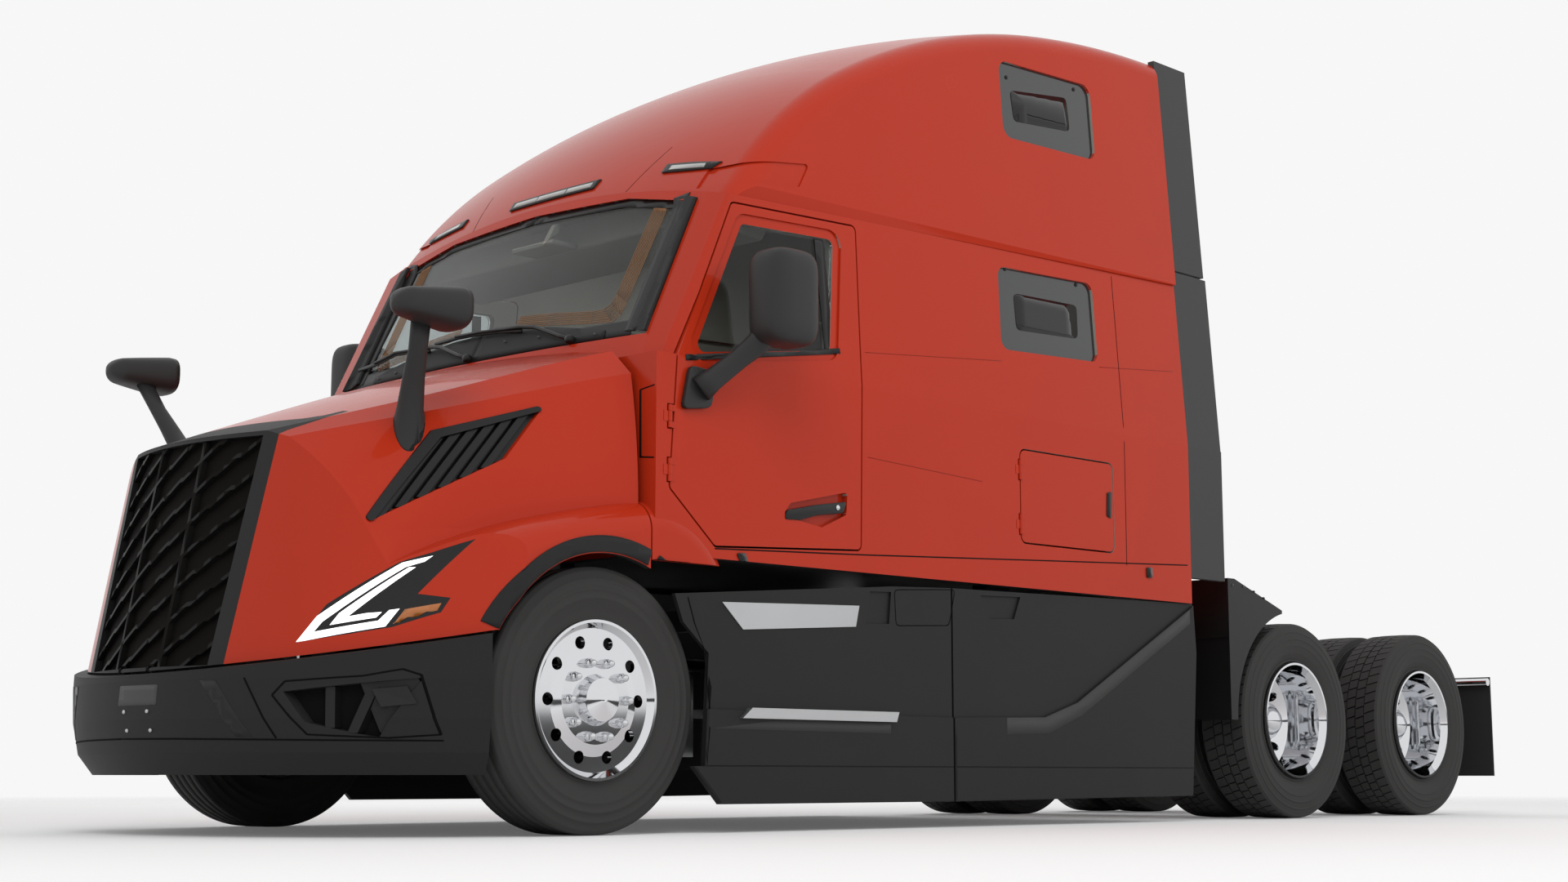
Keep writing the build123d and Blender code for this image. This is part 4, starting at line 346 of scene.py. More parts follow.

# The bumper's vents have blades before a back wall, told apart by their depth behind the bumper's face. The
# back
# # wall gets the near-black finish: painted shade in the vent's mouth.
BLADE_DEPTH = 0.018
ABOVE_VENT = 0.59
bumper_face = surface_of("bumper")
vents = with_more("bumper_vents", "mouth").polygons
for face in vents:
    level = Vector((face.normal.x, face.normal.y, 0)).normalized()
    depth = bumper_face.ray_cast(Vector((face.center.x, face.center.y, ABOVE_VENT)), level)[3]
    if face.normal.y > LOOKS_FORWARD or (depth or 1.0) > BLADE_DEPTH:
        face.material_index = 1
print("vent faces", len(vents), "dark", sum(f.material_index for f in vents))

# %% [markdown]
# A studio floor and sky are one pale tone. More lamps could whiten them, but that would wash out the
# paint, so the sky is pale only to the eye, to mirrors and to glass, and lights the truck more softly.

# %% Floor, sky and lamps
PALE = (0.93, 0.93, 0.93, 1.0)
SKY_LIGHT = 0.62
SQUARE_CORNERS = ((-1, -1), (1, -1), (1, 1), (-1, 1))
FLOOR_HALF = 60.0
FLOOR_LIFT = 0.1
FLOOR_FADE = (6.5, 17.0)
world = bpy.data.worlds.new("studio")
bpy.context.scene.world = world
world.use_nodes = True
sky = world.node_tree
lighting = sky.nodes["Background"]
seen, path, first, second, blend = make(sky, "Background", "LightPath", "Math", "Math", "MixShader")
fill(lighting, {"Color": PALE, "Strength": SKY_LIGHT})
fill(seen, {"Color": PALE, "Strength": 1.0})
second.use_clamp = True
wire(sky, (path, "Is Camera Ray", first, 0), (path, "Is Glossy Ray", first, 1), (first, 0, second, 0),
     (path, "Is Transmission Ray", second, 1), (second, 0, blend, 0), (lighting, 0, blend, 1),
     (seen, 0, blend, 2), (blend, 0, sky.nodes["World Output"], "Surface"))

floor_mesh = bpy.data.meshes.new("studio_floor")
floor_mesh.from_pydata([(x * FLOOR_HALF, y * FLOOR_HALF, 0) for x, y in SQUARE_CORNERS], [], [(0, 1, 2, 3)])
floor = put("studio_floor", floor_mesh)
pale = finish("pale_floor", 0.9, 0.8, 40, 0.01, 0.02, 0.0, specular=0.1)
tree = pale.node_tree
eye, dark, lift, pick, added = make(tree, "LightPath", "Emission", "Emission", "MixShader", "AddShader")
fill(lift, {"Strength": FLOOR_LIFT})
fill(dark, {"Strength": 0.0})
# Far out the floor thins away, so that it meets the backdrop without an edge
centre, length, fade, clear, thin = make(tree, "TexCoord", "VectorMath", "MapRange", "BsdfTransparent",
                                         "MixShader")
length.operation = "LENGTH"
fade.interpolation_type = "SMOOTHSTEP"
fill(fade, {"From Min": FLOOR_FADE[0], "From Max": FLOOR_FADE[1]})
wire(tree, (eye, "Is Camera Ray", pick, 0), (dark, 0, pick, 1), (lift, 0, pick, 2),
     (tree.nodes["Principled BSDF"], 0, added, 0), (pick, 0, added, 1), (centre, "Object", length, 0),
     (length, "Value", fade, "Value"), (fade, "Result", thin, 0), (added, 0, thin, 1), (clear, 0, thin, 2),
     (thin, 0, tree.nodes["Material Output"], "Surface"))
floor_mesh.materials.append(pale)


def unseen(thing, *rays):
    for ray in rays:
        setattr(thing, "visible_" + ray, False)


# A small lamp hung in the cab shows the room through the glass; it looks straight down and is never seen
LAMPS_LOOK_AT = Vector((0, 0, 1.6))
# columns: name, place, size, watts
LAMPS = [("key_lamp", (8.0, -9.0, 10.5), 6.0, 560), ("side_lamp", (11.0, 2.0, 6.0), 6.0, 240),
         ("back_lamp", (-8.0, 5.0, 7.5), 6.0, 220), ("cab_lamp", spot(0.0, 2.0, 2.95), 0.9, 16)]
for name, at, size, watts in LAMPS:
    lamp_data = bpy.data.lights.new(name, "AREA")
    lamp_data.size = size
    lamp_data.energy = watts
    lamp = put(name, lamp_data)
    lamp.location = at
    if name == "cab_lamp":
        unseen(lamp, "camera", "glossy", "transmission")
    else:
        unseen(lamp, "glossy")
        lamp.rotation_euler = (LAMPS_LOOK_AT - Vector(at)).to_track_quat("-Z", "Y").to_euler()
print("lamps", len(LAMPS))

# %% [markdown]
# In an all white room chrome has nothing to show. Photographers stand black cards round a car for this.
# Here the card is one low ring wall that only mirrors see, so it darkens reflections and nothing else.

# %% Dark card for reflections
CARD_RADIUS = 17.0
CARD_FOOT, CARD_HEIGHT = 0.02, 0.95
CARD_SIDES = 64


def circle(count, radius=1.0):
    turns = (2 * math.pi * k / count for k in range(count))
    return [(radius * math.cos(a), radius * math.sin(a)) for a in turns]


card_mesh = bpy.data.meshes.new("dark_card")
card_points = [(*at, z) for at in circle(CARD_SIDES, CARD_RADIUS) for z in (CARD_FOOT, CARD_HEIGHT)]
card_mesh.from_pydata(card_points, [], [[(2 * k + j) % len(card_points) for j in (0, 2, 3, 1)]
                                        for k in range(CARD_SIDES)])
card = put("dark_card", card_mesh)
card_mesh.materials.append(finish("dark_card_cloth", 0.1, 0.9, 40, 0.1, 0.0, 0.0, specular=0.0))
unseen(card, "camera", "diffuse", "transmission", "shadow", "volume_scatter")
print("card height", CARD_HEIGHT)

# %% [markdown]
# Seams, trim bands and lamp covers follow the panel they sit on. They could be modelled flat and bent
# to fit, but casting each point of a flat outline onto the panel gives the exact curve in one step.

# %% Trim cast onto a panel
# Where the rays of a view start from a flat point, and the way they go
VIEWS = {
    "side": (lambda u, v: spot(3.0, u, v), -X),
    "front": (lambda u, v: Vector((u, -6.0, v)), Y),
    "top": (lambda u, v: spot(u, v, 6.0), -Z),
    "cabin": (lambda u, v: spot(0.9, u, v), X),
}
NEVER_SLIPPED = 9.0


def add_piece(name, bm, body, look, smooth=True):
    """No point of a piece stands out of the drawing's box."""
    mesh = bpy.data.meshes.new(name)
    for vert in bm.verts:
        vert.co = [min(max(c, low_c), high_c) for c, low_c, high_c in zip(vert.co, *cad_box)]
    bm.normal_update()
    bm.to_mesh(mesh)
    bm.free()
    mesh.materials.append(FINISHES[look])
    for face in mesh.polygons:
        face.use_smooth = smooth
    piece = put(name, mesh)
    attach(piece, body)
    return piece


def hit(surface, view, u, v):
    """Where a flat point meets the surface, or else the nearest place, and the normal there."""
    start, along = VIEWS[view]
    found = surface.ray_cast(start(u, v), along)
    return found[:2] if found[0] else surface.find_nearest(start(u, v))[:2]


def cast_outline(bm, outline, view, surface, proud, sunk, step, slipped):
    along = VIEWS[view][1]
    flat = bmesh.new()
    flat.faces.new([flat.verts.new((u, v, 0)) for u, v in outline])
    for axis, normal in enumerate((X, Y)):
        values = [p[axis] for p in outline]
        cut = math.floor(min(values) / step) * step + step
        while cut < max(values):
            bmesh.ops.bisect_plane(flat, geom=flat.verts[:] + flat.edges[:] + flat.faces[:],
                                   plane_co=normal * cut, plane_no=normal)
            cut += step
    for vert in flat.verts:
        vert.co = hit(surface, view, vert.co.x, vert.co.y)[0]
    # A ray that slips through a gap between two panels lands too deep and is brought back to its neighbours
    for vert in flat.verts:
        around = sorted(edge.other_vert(vert).co.dot(along) for edge in vert.link_edges)
        slip = vert.co.dot(along) - around[(len(around) - 1) // 2]
        if slip > slipped:
            vert.co -= along * slip
    outer = {v: bm.verts.new(v.co - along * proud) for v in flat.verts}
    inner = {v: bm.verts.new(v.co + along * sunk) for v in flat.verts}
    for face in flat.faces:
        bm.faces.new([outer[v] for v in face.verts])
        bm.faces.new([inner[v] for v in reversed(face.verts)])
    for edge in flat.edges:
        if len(edge.link_faces) == 1:
            a, b = edge.verts
            bm.faces.new([outer[a], inner[a], inner[b], outer[b]])
    flat.free()


def settle(name, bm, body, look, both=True, smooth=True):
    """Makes the piece. With both "pair", a body given as 'door_' gives each side's body its own piece."""
    sides = SIDES if both == "pair" else (("", 1),)
    if both is True:
        copy = bmesh.ops.duplicate(bm, geom=bm.verts[:] + bm.edges[:] + bm.faces[:])
        for vert in (g for g in copy["geom"] if isinstance(g, bmesh.types.BMVert)):
            vert.co.x = -vert.co.x
    pieces = []
    for side_name, sign in sides:
        one = bm.copy()
        for vert in one.verts:
            vert.co.x *= sign
        bmesh.ops.recalc_face_normals(one, faces=one.faces[:])
        full_name = name + ("_" + side_name if side_name else "")
        pieces.append(add_piece(full_name, one, body + side_name, look, smooth))
    print(name, "faces", len(bm.faces), "pieces", len(pieces))
    bm.free()
    return pieces


def trim(name, outlines, view, nodes, look, proud=0.002, sunk=0.004, step=0.035, body="chassis", both=True,
         slipped=NEVER_SLIPPED):
    """Outlines cast on to a panel, standing proud of it and sunk into it by so much."""
    bm = bmesh.new()
    surface = surface_of(nodes)
    for outline in outlines:
        cast_outline(bm, outline, view, surface, proud, sunk, step, slipped)
    return settle(name, bm, body, look, both)


def band(points, width):
    """The outline of a strip that runs along a few points."""
    left, right = [], []
    for k, (u, v) in enumerate(points):
        before, after = points[max(k - 1, 0)], points[min(k + 1, len(points) - 1)]
        run = Vector((after[0] - before[0], after[1] - before[1])).normalized()
        left.append((u - run.y * width / 2, v + run.x * width / 2))
        right.append((u + run.y * width / 2, v - run.x * width / 2))
    return left + right[::-1]


# %% [markdown]
# The wheel arches end in a dark moulded lip, in two lengths: one rides with the hood, the other stays
# on the cab. A band cast from the side could reach only the outer face, which is all that shows.

# %% Wheel arch lips
ARCH_INNER = 0.549
ARCH_LIP = 0.062
ARCH_STEPS = 22


def arch(first, last):
    """A band round the wheel between two angles."""
    angles = [math.radians(first + (last - first) * k / ARCH_STEPS) for k in range(ARCH_STEPS + 1)]
    return [(-r * math.cos(a), STEER_R + r * math.sin(a))
            for r, way in ((ARCH_INNER, 1), (ARCH_INNER + ARCH_LIP, -1)) for a in angles[::way]]


trim("arch_lip_hood", [arch(26, 111)], "side", "hood_shell", "trim_grey", 0.006, 0.01, body="hood")
trim("arch_lip_cab", [arch(115, 133)], "side", "cowl_panels", "trim_grey", 0.006, 0.01)

# %% [markdown]
# Each headlamp has two bright light pipes in the shape of a lying V, one inside the other, and an amber
# block at its outer end. They lie just under the lens, so they are cast onto the lamp from the front.

# %% Light pipes and amber blocks
OUTER_PIPE = [(1.047, 0.998), (0.978, 0.972), (0.734, 0.746), (0.718, 0.686), (0.964, 0.742), (0.991, 0.806),
              (0.967, 0.801), (0.944, 0.763), (0.769, 0.724), (0.79, 0.76), (0.988, 0.956), (1.03, 0.976)]
INNER_PIPE = [(1.012, 0.956), (0.997, 0.956), (0.835, 0.79), (0.814, 0.748), (0.937, 0.774), (0.949, 0.794),
              (0.91, 0.79), (0.861, 0.778)]
AMBER_BLOCK = [(1.006, 0.804), (1.083, 0.827), (1.074, 0.785), (1.049, 0.765), (0.986, 0.753)]
trim("headlamp_light_pipes", [OUTER_PIPE, INNER_PIPE], "front", "headlamps", "led", 0.0015, 0.002, 0.03,
     body="hood")
trim("headlamp_amber", [AMBER_BLOCK], "front", "headlamps", "amber", 0.0045, 0.002, 0.02, body="hood")

# %% [markdown]
# A tyre is a lathe form with a bulged sidewall. The steer tyre has ribs parted by round grooves, which
# the section itself can carry. The drive tyre has separate blocks, so these are set round a plain band.

# %% Tyre sections
TYRE_W = 0.285
RIM_SEAT = 0.288
# Half section from the bead to the shoulder.  columns: distance from the middle, radius short of the tread
SIDEWALL = [(0.104, None), (0.112, -0.205), (0.119, -0.2), (0.119, -0.194), (0.115, -0.19), (0.13, -0.156),
            (0.1385, -0.122), (0.1405, -0.119), (0.1405, -0.114), (0.139, -0.111), (0.1402, -0.09),
            (0.1425, -0.087), (0.1425, -0.081), (0.1392, -0.078), (0.137, -0.054), (0.1385, -0.051),
            (0.1385, -0.046), (0.135, -0.043), (0.13, -0.022), (0.1285, -0.012), (0.117, -0.004)]
RIB_EDGES = [0.117, 0.077, 0.069, 0.028, 0.02]
BAND_HALF = 0.112
GROOVE = 0.013
EDGE_ROUND = 0.001
AROUND = 120


def join_rings(bm, rings, closed=True, again=False, ends=(0, -1)):
    """Faces from ring to ring. closed: each ring is one. again: the last meets the first. ends: filled."""
    for here, there in zip(rings, rings[1:] + rings[:again]):
        for j in range(len(here) if closed else len(here) - 1):
            k = (j + 1) % len(here)
            bm.faces.new([here[j], here[k], there[k], there[j]])
    for end in ends:
        bm.faces.new(rings[end])


def lathe(bm, section, middle_x, station, height, around, closed=False):
    rings = [[bm.verts.new(spot(middle_x + x, station + r * s, height + r * c)) for x, r in section]
             for c, s in circle(around)]
    join_rings(bm, rings, closed, again=True, ends=())


def tyre_half(radius, ribs):
    half = [(x, RIM_SEAT if short is None else radius + short) for x, short in SIDEWALL]
    if ribs:
        half.append((RIB_EDGES[0], radius - EDGE_ROUND))
        for outer, inner in ((RIB_EDGES[1], RIB_EDGES[2]), (RIB_EDGES[3], RIB_EDGES[4])):
            half += [(outer, radius), (outer - EDGE_ROUND, radius - GROOVE),
                     (inner + EDGE_ROUND, radius - GROOVE), (inner, radius)]
    else:
        half.append((BAND_HALF, radius - GROOVE))
    return half


def tyre_piece(node, body, rings, radius, ribs):
    """rings: the middles of this body's tyres."""
    bm = bmesh.new()
    low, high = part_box(node)
    station = (low.y + high.y) / 2 - AXLE_Y
    for middle in rings:
        half = tyre_half(radius, ribs)
        lathe(bm, half + [(-x, r) for x, r in reversed(half)], middle, station, radius, AROUND, closed=True)
        if not ribs:
            tread_blocks(bm, middle, station, radius)
    bmesh.ops.recalc_face_normals(bm, faces=bm.faces[:])
    piece = add_piece(node + "_rubber", bm, body, "tyre", smooth=ribs)
    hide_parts(node)


# %% [markdown]
# The drive tread has four rows of blocks whose cross cuts lean one way on one half and the other way on
# the other, with a zigzag along the middle. One block is eight points on the tread's curve, repeated.

# %% Drive tread blocks
BLOCKS_ROUND = 58
# Rows of blocks.  columns: inner edge, outer edge, lean of the cut across the row
BLOCK_ROWS = [(0.004, 0.05, 0.014), (0.056, 0.1165, 0.02), (-0.05, -0.004, 0.014), (-0.1165, -0.056, 0.02)]
BLOCK_SHARE = 0.86
# Beyond this width a block's top lies lower by so much
SHOULDER, SHOULDER_DROP = 0.1, 0.003


def tread_blocks(bm, middle, station, radius):
    pitch = 2 * math.pi / BLOCKS_ROUND
    for row, (x0, x1, lean) in enumerate(BLOCK_ROWS):
        for k in range(BLOCKS_ROUND):
            start = (k + 0.5 * (row % 2)) * pitch
            corners = [bm.verts.new(spot(middle + x, station + r * math.sin(a), radius + r * math.cos(a)))
                       for x, shift in ((x0, 0.0), (x1, lean / radius))
                       for a in (start + shift, start + shift + pitch * BLOCK_SHARE)
                       for r in (radius - GROOVE - EDGE_ROUND,
                                 radius - EDGE_ROUND - SHOULDER_DROP * (abs(x) > SHOULDER))]
            for face in ((1, 3, 7, 5), (0, 1, 5, 4), (2, 6, 7, 3), (0, 2, 3, 1), (4, 5, 7, 6)):
                bm.faces.new([corners[j] for j in face])


# %% Tyres on their wheels
STEER_X = sum(v.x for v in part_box("tyre_front_left")) / 2
DUAL_X = (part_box("tyres_drive_1_left")[1].x - TYRE_W / 2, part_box("tyres_drive_1_left")[0].x + TYRE_W / 2)
for side_name, sign in SIDES:
    tyre_piece("tyre_front_" + side_name, "front_wheel_" + side_name, [sign * STEER_X], STEER_R, True)
    for number in (1, 2):
        tyre_piece(f"tyres_drive_{number}_{side_name}", f"drive_wheels_{number}_{side_name}",
                   [sign * x for x in DUAL_X], DRIVE_R, False)

# %% [markdown]
# Ten nuts under bright caps hold each wheel, round a domed hub cover. A cap could be bevelled from a
# cylinder, but its skirt and crown are turned more simply from one short section.

# %% Nut caps and hub covers
NUTS = 10
NUT_RING = 0.142
CAP_SIDES, COVER_SIDES = 12, 40
SAME_PLACE = 0.00002
# Half sections.  columns: out from the face, radius
NUT_CAP = [(0.0, 0.019), (0.022, 0.018), (0.024, 0.015), (0.04, 0.0135), (0.048, 0.009), (0.051, 0.0)]
HUB_COVER = [(0.0, 0.1), (0.018, 0.096), (0.022, 0.08), (0.03, 0.078), (0.062, 0.066), (0.082, 0.04),
             (0.089, 0.0)]


def nut_caps(name, body, face_x, sign, station, height, cover_x):
    bm = bmesh.new()
    for k in range(NUTS):
        a = 2 * math.pi * (k + 0.5) / NUTS
        lathe(bm, [(sign * x, r) for x, r in NUT_CAP], sign * face_x, station + NUT_RING * math.sin(a),
              height + NUT_RING * math.cos(a), CAP_SIDES)
    lathe(bm, [(sign * x, r) for x, r in HUB_COVER], sign * cover_x, station, height, COVER_SIDES)
    bmesh.ops.remove_doubles(bm, verts=bm.verts[:], dist=SAME_PLACE)
    bmesh.ops.recalc_face_normals(bm, faces=bm.faces[:])
    add_piece(name, bm, body, "chrome")


STEER_FACE, STEER_COVER = STEER_X + 0.123, STEER_X + 0.08
DRIVE_FACE, DRIVE_COVER = DUAL_X[0] - 0.1465, DUAL_X[0] - 0.065
for side_name, sign in SIDES:
    nut_caps("steer_nut_caps_" + side_name, "front_wheel_" + side_name, STEER_FACE, sign, 0.0, STEER_R,
             STEER_COVER)
    for number in (1, 2):
        low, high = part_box(f"tyres_drive_{number}_left")
        nut_caps(f"drive_nut_caps_{number}_{side_name}", f"drive_wheels_{number}_{side_name}", DRIVE_FACE,
                 sign, (low.y + high.y) / 2 - AXLE_Y, DRIVE_R, DRIVE_COVER)
print("nut caps", len(SIDES) * 3 * NUTS)

# %% [markdown]
# Bolts, bars and blocks recur all over a truck. Each could be its own drawing, but three small makers
# cover them: a domed stud set square to the panel under it, a round bar along points, and a flat outline
# given thickness with its edges rounded.

# %% Studs, bars and slabs
ROOT = 0.002
STUD_SIDES = 12
# Rings of a stud.  columns: share of its radius, share of its height
DOME = ((1, 0.5), (0.72, 1))
# A bar's end reaches on by a share of its radius and narrows to a share
END_REACH, END_SHARE = 0.5, 0.55
NEARLY_UPRIGHT = 0.05
CORNER_LIMIT = 0.45


def studs(name, places, view, nodes, look, radius, high, both=True):
    surface = surface_of(nodes)
    bm = bmesh.new()
    for place in places:
        at, normal = hit(surface, view, *place)
        if normal.dot(VIEWS[view][1]) > 0:
            normal = -normal
        turn = normal.to_track_quat("Z", "Y")
        rings = (radius, -ROOT), *((radius * wide, high * up) for wide, up in DOME)
        join_rings(bm, [[bm.verts.new(at + turn @ Vector((*p, h))) for p in circle(STUD_SIDES, r)]
                        for r, h in rings], ends=(-1,))
    return settle(name, bm, "chassis", look, both)


def bar(bm, points, radius, sides=10, flat=1.0):
    """A bar with rounded ends. flat squeezes it upright."""
    points = [Vector(p) for p in points]
    first, last = (points[1] - points[0]).normalized(), (points[-1] - points[-2]).normalized()
    line = [(points[0] - first * radius * END_REACH, END_SHARE), *((p, 1.0) for p in points),
            (points[-1] + last * radius * END_REACH, END_SHARE)]
    rings = []
    for k, (p, share) in enumerate(line):
        run = (line[min(k + 1, len(line) - 1)][0] - line[max(k - 1, 0)][0]).normalized()
        across = run.cross(Z)
        across = across.normalized() if across.length > NEARLY_UPRIGHT else X
        up = across.cross(run)
        rings.append([bm.verts.new(p + (across * c + up * s * flat) * radius * share)
                      for c, s in circle(sides)])
    join_rings(bm, rings)


def slab(bm, outline, across, near, far, edge=0.0, segments=2):
    """An outline seen along x, y or z, filled between two depths, with its edges rounded."""
    at = {"x": lambda u, v, w: spot(w, u, v), "y": lambda u, v, w: spot(u, w, v), "z": spot}[across]
    block = bmesh.new()
    join_rings(block, [[block.verts.new(at(u, v, w)) for u, v in outline] for w in (near, far)])
    bmesh.ops.recalc_face_normals(block, faces=block.faces[:])
    if edge:
        bmesh.ops.bevel(block, geom=block.edges[:], offset=edge, segments=segments, affect="EDGES",
                        profile=0.5)
    pass_on = bpy.data.meshes.new("pass_on")
    block.to_mesh(pass_on)
    bm.from_mesh(pass_on)
    bpy.data.meshes.remove(pass_on)
    block.free()


def slabs(name, rows, look, body="chassis", both=True):
    """One piece made of slabs.  columns: outline, axis it is seen along, near, far, edge"""
    bm = bmesh.new()
    for row in rows:
        slab(bm, *row)
    return settle(name, bm, body, look, both)


def rounded(outline, radius, count=4):
    """The same outline with its corners rounded."""
    result = []
    for k, corner in enumerate(outline):
        here = Vector(corner)
        before, after = Vector(outline[k - 1]) - here, Vector(outline[(k + 1) % len(outline)]) - here
        reach = min(radius, before.length * CORNER_LIMIT, after.length * CORNER_LIMIT)
        a, b = here + before.normalized() * reach, here + after.normalized() * reach
        for j in range(count + 1):
            t = j / count
            point = a * (1 - t) ** 2 + here * 2 * t * (1 - t) + b * t ** 2
            result.append((point.x, point.y))
    return result


def box_of(u0, u1, v0, v1):
    return [(u0, v0), (u1, v0), (u1, v1), (u0, v1)]


def frame_of(outline, width):
    """Bands along every side of an outline."""
    return [band([outline[k - 1], outline[k]], width) for k in range(len(outline))]


def cast_points(points, view, nodes, proud):
    surface = surface_of(nodes)
    return [hit(surface, view, u, v)[0] - VIEWS[view][1] * proud for u, v in points]


print("a rounded square has", len(rounded(box_of(0, 1, 0, 1), 0.1)), "points")

# %% [markdown]
# The windscreen is bonded in, so a black border is printed round it, a satin strip covers each pillar
# and a run of fine amber wires bends round the lower corner. All are cast on to the glass from the front.

# %% Windscreen border, pillar strips and wires
PILLAR_STRIP = [(0.955, 2.59), (1.012, 2.572), (1.03, 1.968), (0.94, 1.988)]
PILLAR_BLACK = [(0.88, 2.59), (0.958, 2.606), (0.95, 1.98), (0.895, 1.985)]
BORDER_WIDTH = 0.036
COWL_COVERS = 0.075
SCREEN_HALF = 0.93
SCREEN_PARTS = 24
ABOVE_GLASS, ON_GLASS, BELOW_GLASS = 2.75, 2.3, 1.9
EDGE_INSET = 0.001
screen = surface_of("windshield")
SCREEN = "windshield cab_shell"


def screen_edge(x, from_z, to_z, steps=400):
    """The height at which the glass first shows, going from one height to the other."""
    for k in range(steps + 1):
        z = from_z + (to_z - from_z) * k / steps
        if screen.ray_cast(VIEWS["front"][0](x, z), Y)[0]:
            return z
    return to_z


across = [SCREEN_HALF * k / SCREEN_PARTS for k in range(SCREEN_PARTS + 1)]
top_edge = [(x, screen_edge(x, ABOVE_GLASS, ON_GLASS) - EDGE_INSET) for x in across]
foot_edge = [(x, screen_edge(x, BELOW_GLASS, ON_GLASS) + EDGE_INSET) for x in across]
BORDER = [top_edge + [(x, z - BORDER_WIDTH) for x, z in reversed(top_edge)],
          foot_edge + [(x, z + COWL_COVERS) for x, z in reversed(foot_edge)]]
WIRE_OUT = [(0.844, 2.546), (0.836, 2.12), (0.831, 2.066), (0.8, 2.042), (0.679, 2.05), (0.407, 2.08),
            (0.195, 2.105)]
WIRE_IN = [(0.767, 2.56), (0.76, 2.17), (0.752, 2.126), (0.72, 2.106), (0.66, 2.106), (0.4, 2.134),
           (0.2, 2.15)]
WIRES = 9
WIRE_WIDTH = 0.0026
WIRE_CAP = [(0.846, 2.54), (0.832, 2.568), (0.8, 2.588), (0.768, 2.592), (0.766, 2.555)]
trim("pillar_strips", [PILLAR_STRIP], "front", SCREEN, "trim_grey", 0.018, 0.006, 0.02, slipped=0.05)
trim("windscreen_border", BORDER, "front", "windshield", "trim_black", 0.003, 0.001)
trim("pillar_seal", [PILLAR_BLACK], "front", SCREEN, "trim_black", 0.005, 0.001)
wires = [WIRE_CAP]
for k in range(WIRES):
    t = k / (WIRES - 1)
    path = [(a[0] * (1 - t) + b[0] * t, a[1] * (1 - t) + b[1] * t) for a, b in zip(WIRE_OUT, WIRE_IN)]
    wires += [band(ends, WIRE_WIDTH) for ends in zip(path, path[1:])]
trim("windscreen_wires", wires, "front", "windshield", "wire", 0.0022, 0.0, 0.1)

# %% [markdown]
# A black cowl closes the gap below the screen and carries the wipers. Each wiper is a pivot, a bent arm
# and a blade with its holder, laid a little off the glass.

# %% Cowl and wipers
COWL = [(0.0, 2.092), (0.2, 2.088), (0.44, 2.066), (0.62, 2.036), (0.785, 2.004), (0.795, 1.966),
        (0.4, 1.966), (0.0, 1.966)]
COWL_BOLTS = [(0.596, 1.994), (0.74, 1.986), (0.184, 2.03), (0.4, 2.02)]
BLADE = [(-0.341, 2.098), (-0.18, 2.104), (-0.017, 2.1), (0.13, 2.088), (0.277, 2.07)]
ARM = [(0.12, 2.096), (0.275, 2.086), (0.378, 2.07), (0.464, 2.04), (0.558, 2.006), (0.62, 1.985)]
SECOND_WIPER = -0.64
# How far blade and arm stand off the glass, and how far the tip of the second blade hangs
BLADE_OFF, ARM_OFF, TIP_DROP = 0.02, 0.036, 0.03
BLADE_R, HOLDER_R, ARM_R, PIVOT_R = 0.006, 0.007, 0.009, 0.02
HOLDER_SHIFT, PIVOT_RUN = Vector((0, -0.01, 0.004)), Vector((0, 0.035, -0.012))
trim("cowl_cover", [COWL], "front", SCREEN, "trim_grey", 0.01, 0.004)
studs("cowl_bolts", COWL_BOLTS, "front", SCREEN, "edge", 0.007, 0.016)
bm = bmesh.new()
for shift in (0.0, SECOND_WIPER):
    blade = cast_points([(x + shift, z - TIP_DROP * (shift < 0) * (x < -0.1)) for x, z in BLADE], "front",
                        SCREEN, BLADE_OFF)
    arm = cast_points([(x + shift, z) for x, z in ARM], "front", SCREEN, ARM_OFF)
    bar(bm, blade, BLADE_R, sides=8, flat=1.6)
    bar(bm, [p + HOLDER_SHIFT for p in blade[1:4]], HOLDER_R, sides=8)
    bar(bm, arm, ARM_R)
    bar(bm, [arm[-1], arm[-1] + PIVOT_RUN], PIVOT_R, sides=14)
settle("wipers", bm, "chassis", "trim_black", both=False)

# %% [markdown]
# Marker lamps stand on the roof's brow: a bar of three in the middle and one at each side. A black base
# and pale lenses in cells say lamp from afar, where one plain lens would read as a sticker.

# %% Roof lamps and roof seams
LAMP_BASE = [(-0.288, 2.755), (-0.298, 2.802), (0.298, 2.802), (0.288, 2.755)]
LAMP_CELLS = [box_of(a, b, 2.766, 2.791) for a, b in ((-0.264, -0.104), (-0.094, 0.094), (0.104, 0.264))]
SIDE_BASE = [(0.687, 2.757), (0.688, 2.802), (0.84, 2.785), (1.0, 2.757), (0.968, 2.728), (0.857, 2.738)]
SIDE_LENS = [(0.725, 2.765), (0.727, 2.787), (0.92, 2.762), (0.925, 2.741)]
ROOF_SEAM = [(0.617, 2.91), (0.528, 2.69)]
for name, outlines, look, proud, sunk, both in (
        ("roof_lamp_base", [LAMP_BASE], "trim_black", 0.01, 0.006, False),
        ("roof_lamp_lenses", LAMP_CELLS, "marker", 0.013, 0.0, False),
        ("side_marker_base", [SIDE_BASE], "trim_black", 0.01, 0.006, True),
        ("side_marker_lens", [SIDE_LENS], "marker", 0.013, 0.0, True),
        ("roof_seams", [band(ROOF_SEAM, 0.0035)], "seam", 0.0006, 0.002, True)):
    trim(name, outlines, "front", "roof_fairing", look, proud, sunk, both=both)

# %% [markdown]
# A black cap closes the roof's back edge, where the air foil would be bolted on.

# %% Roof cap
ROOF_CAP = [(-0.9, 3.5), (0.9, 3.5), (0.96, 3.81), (-0.96, 3.81)]
trim("roof_cap", [rounded(ROOF_CAP, 0.06)], "top", "roof_fairing", "trim_black", 0.005, 0.006, 0.08,
     both=False)
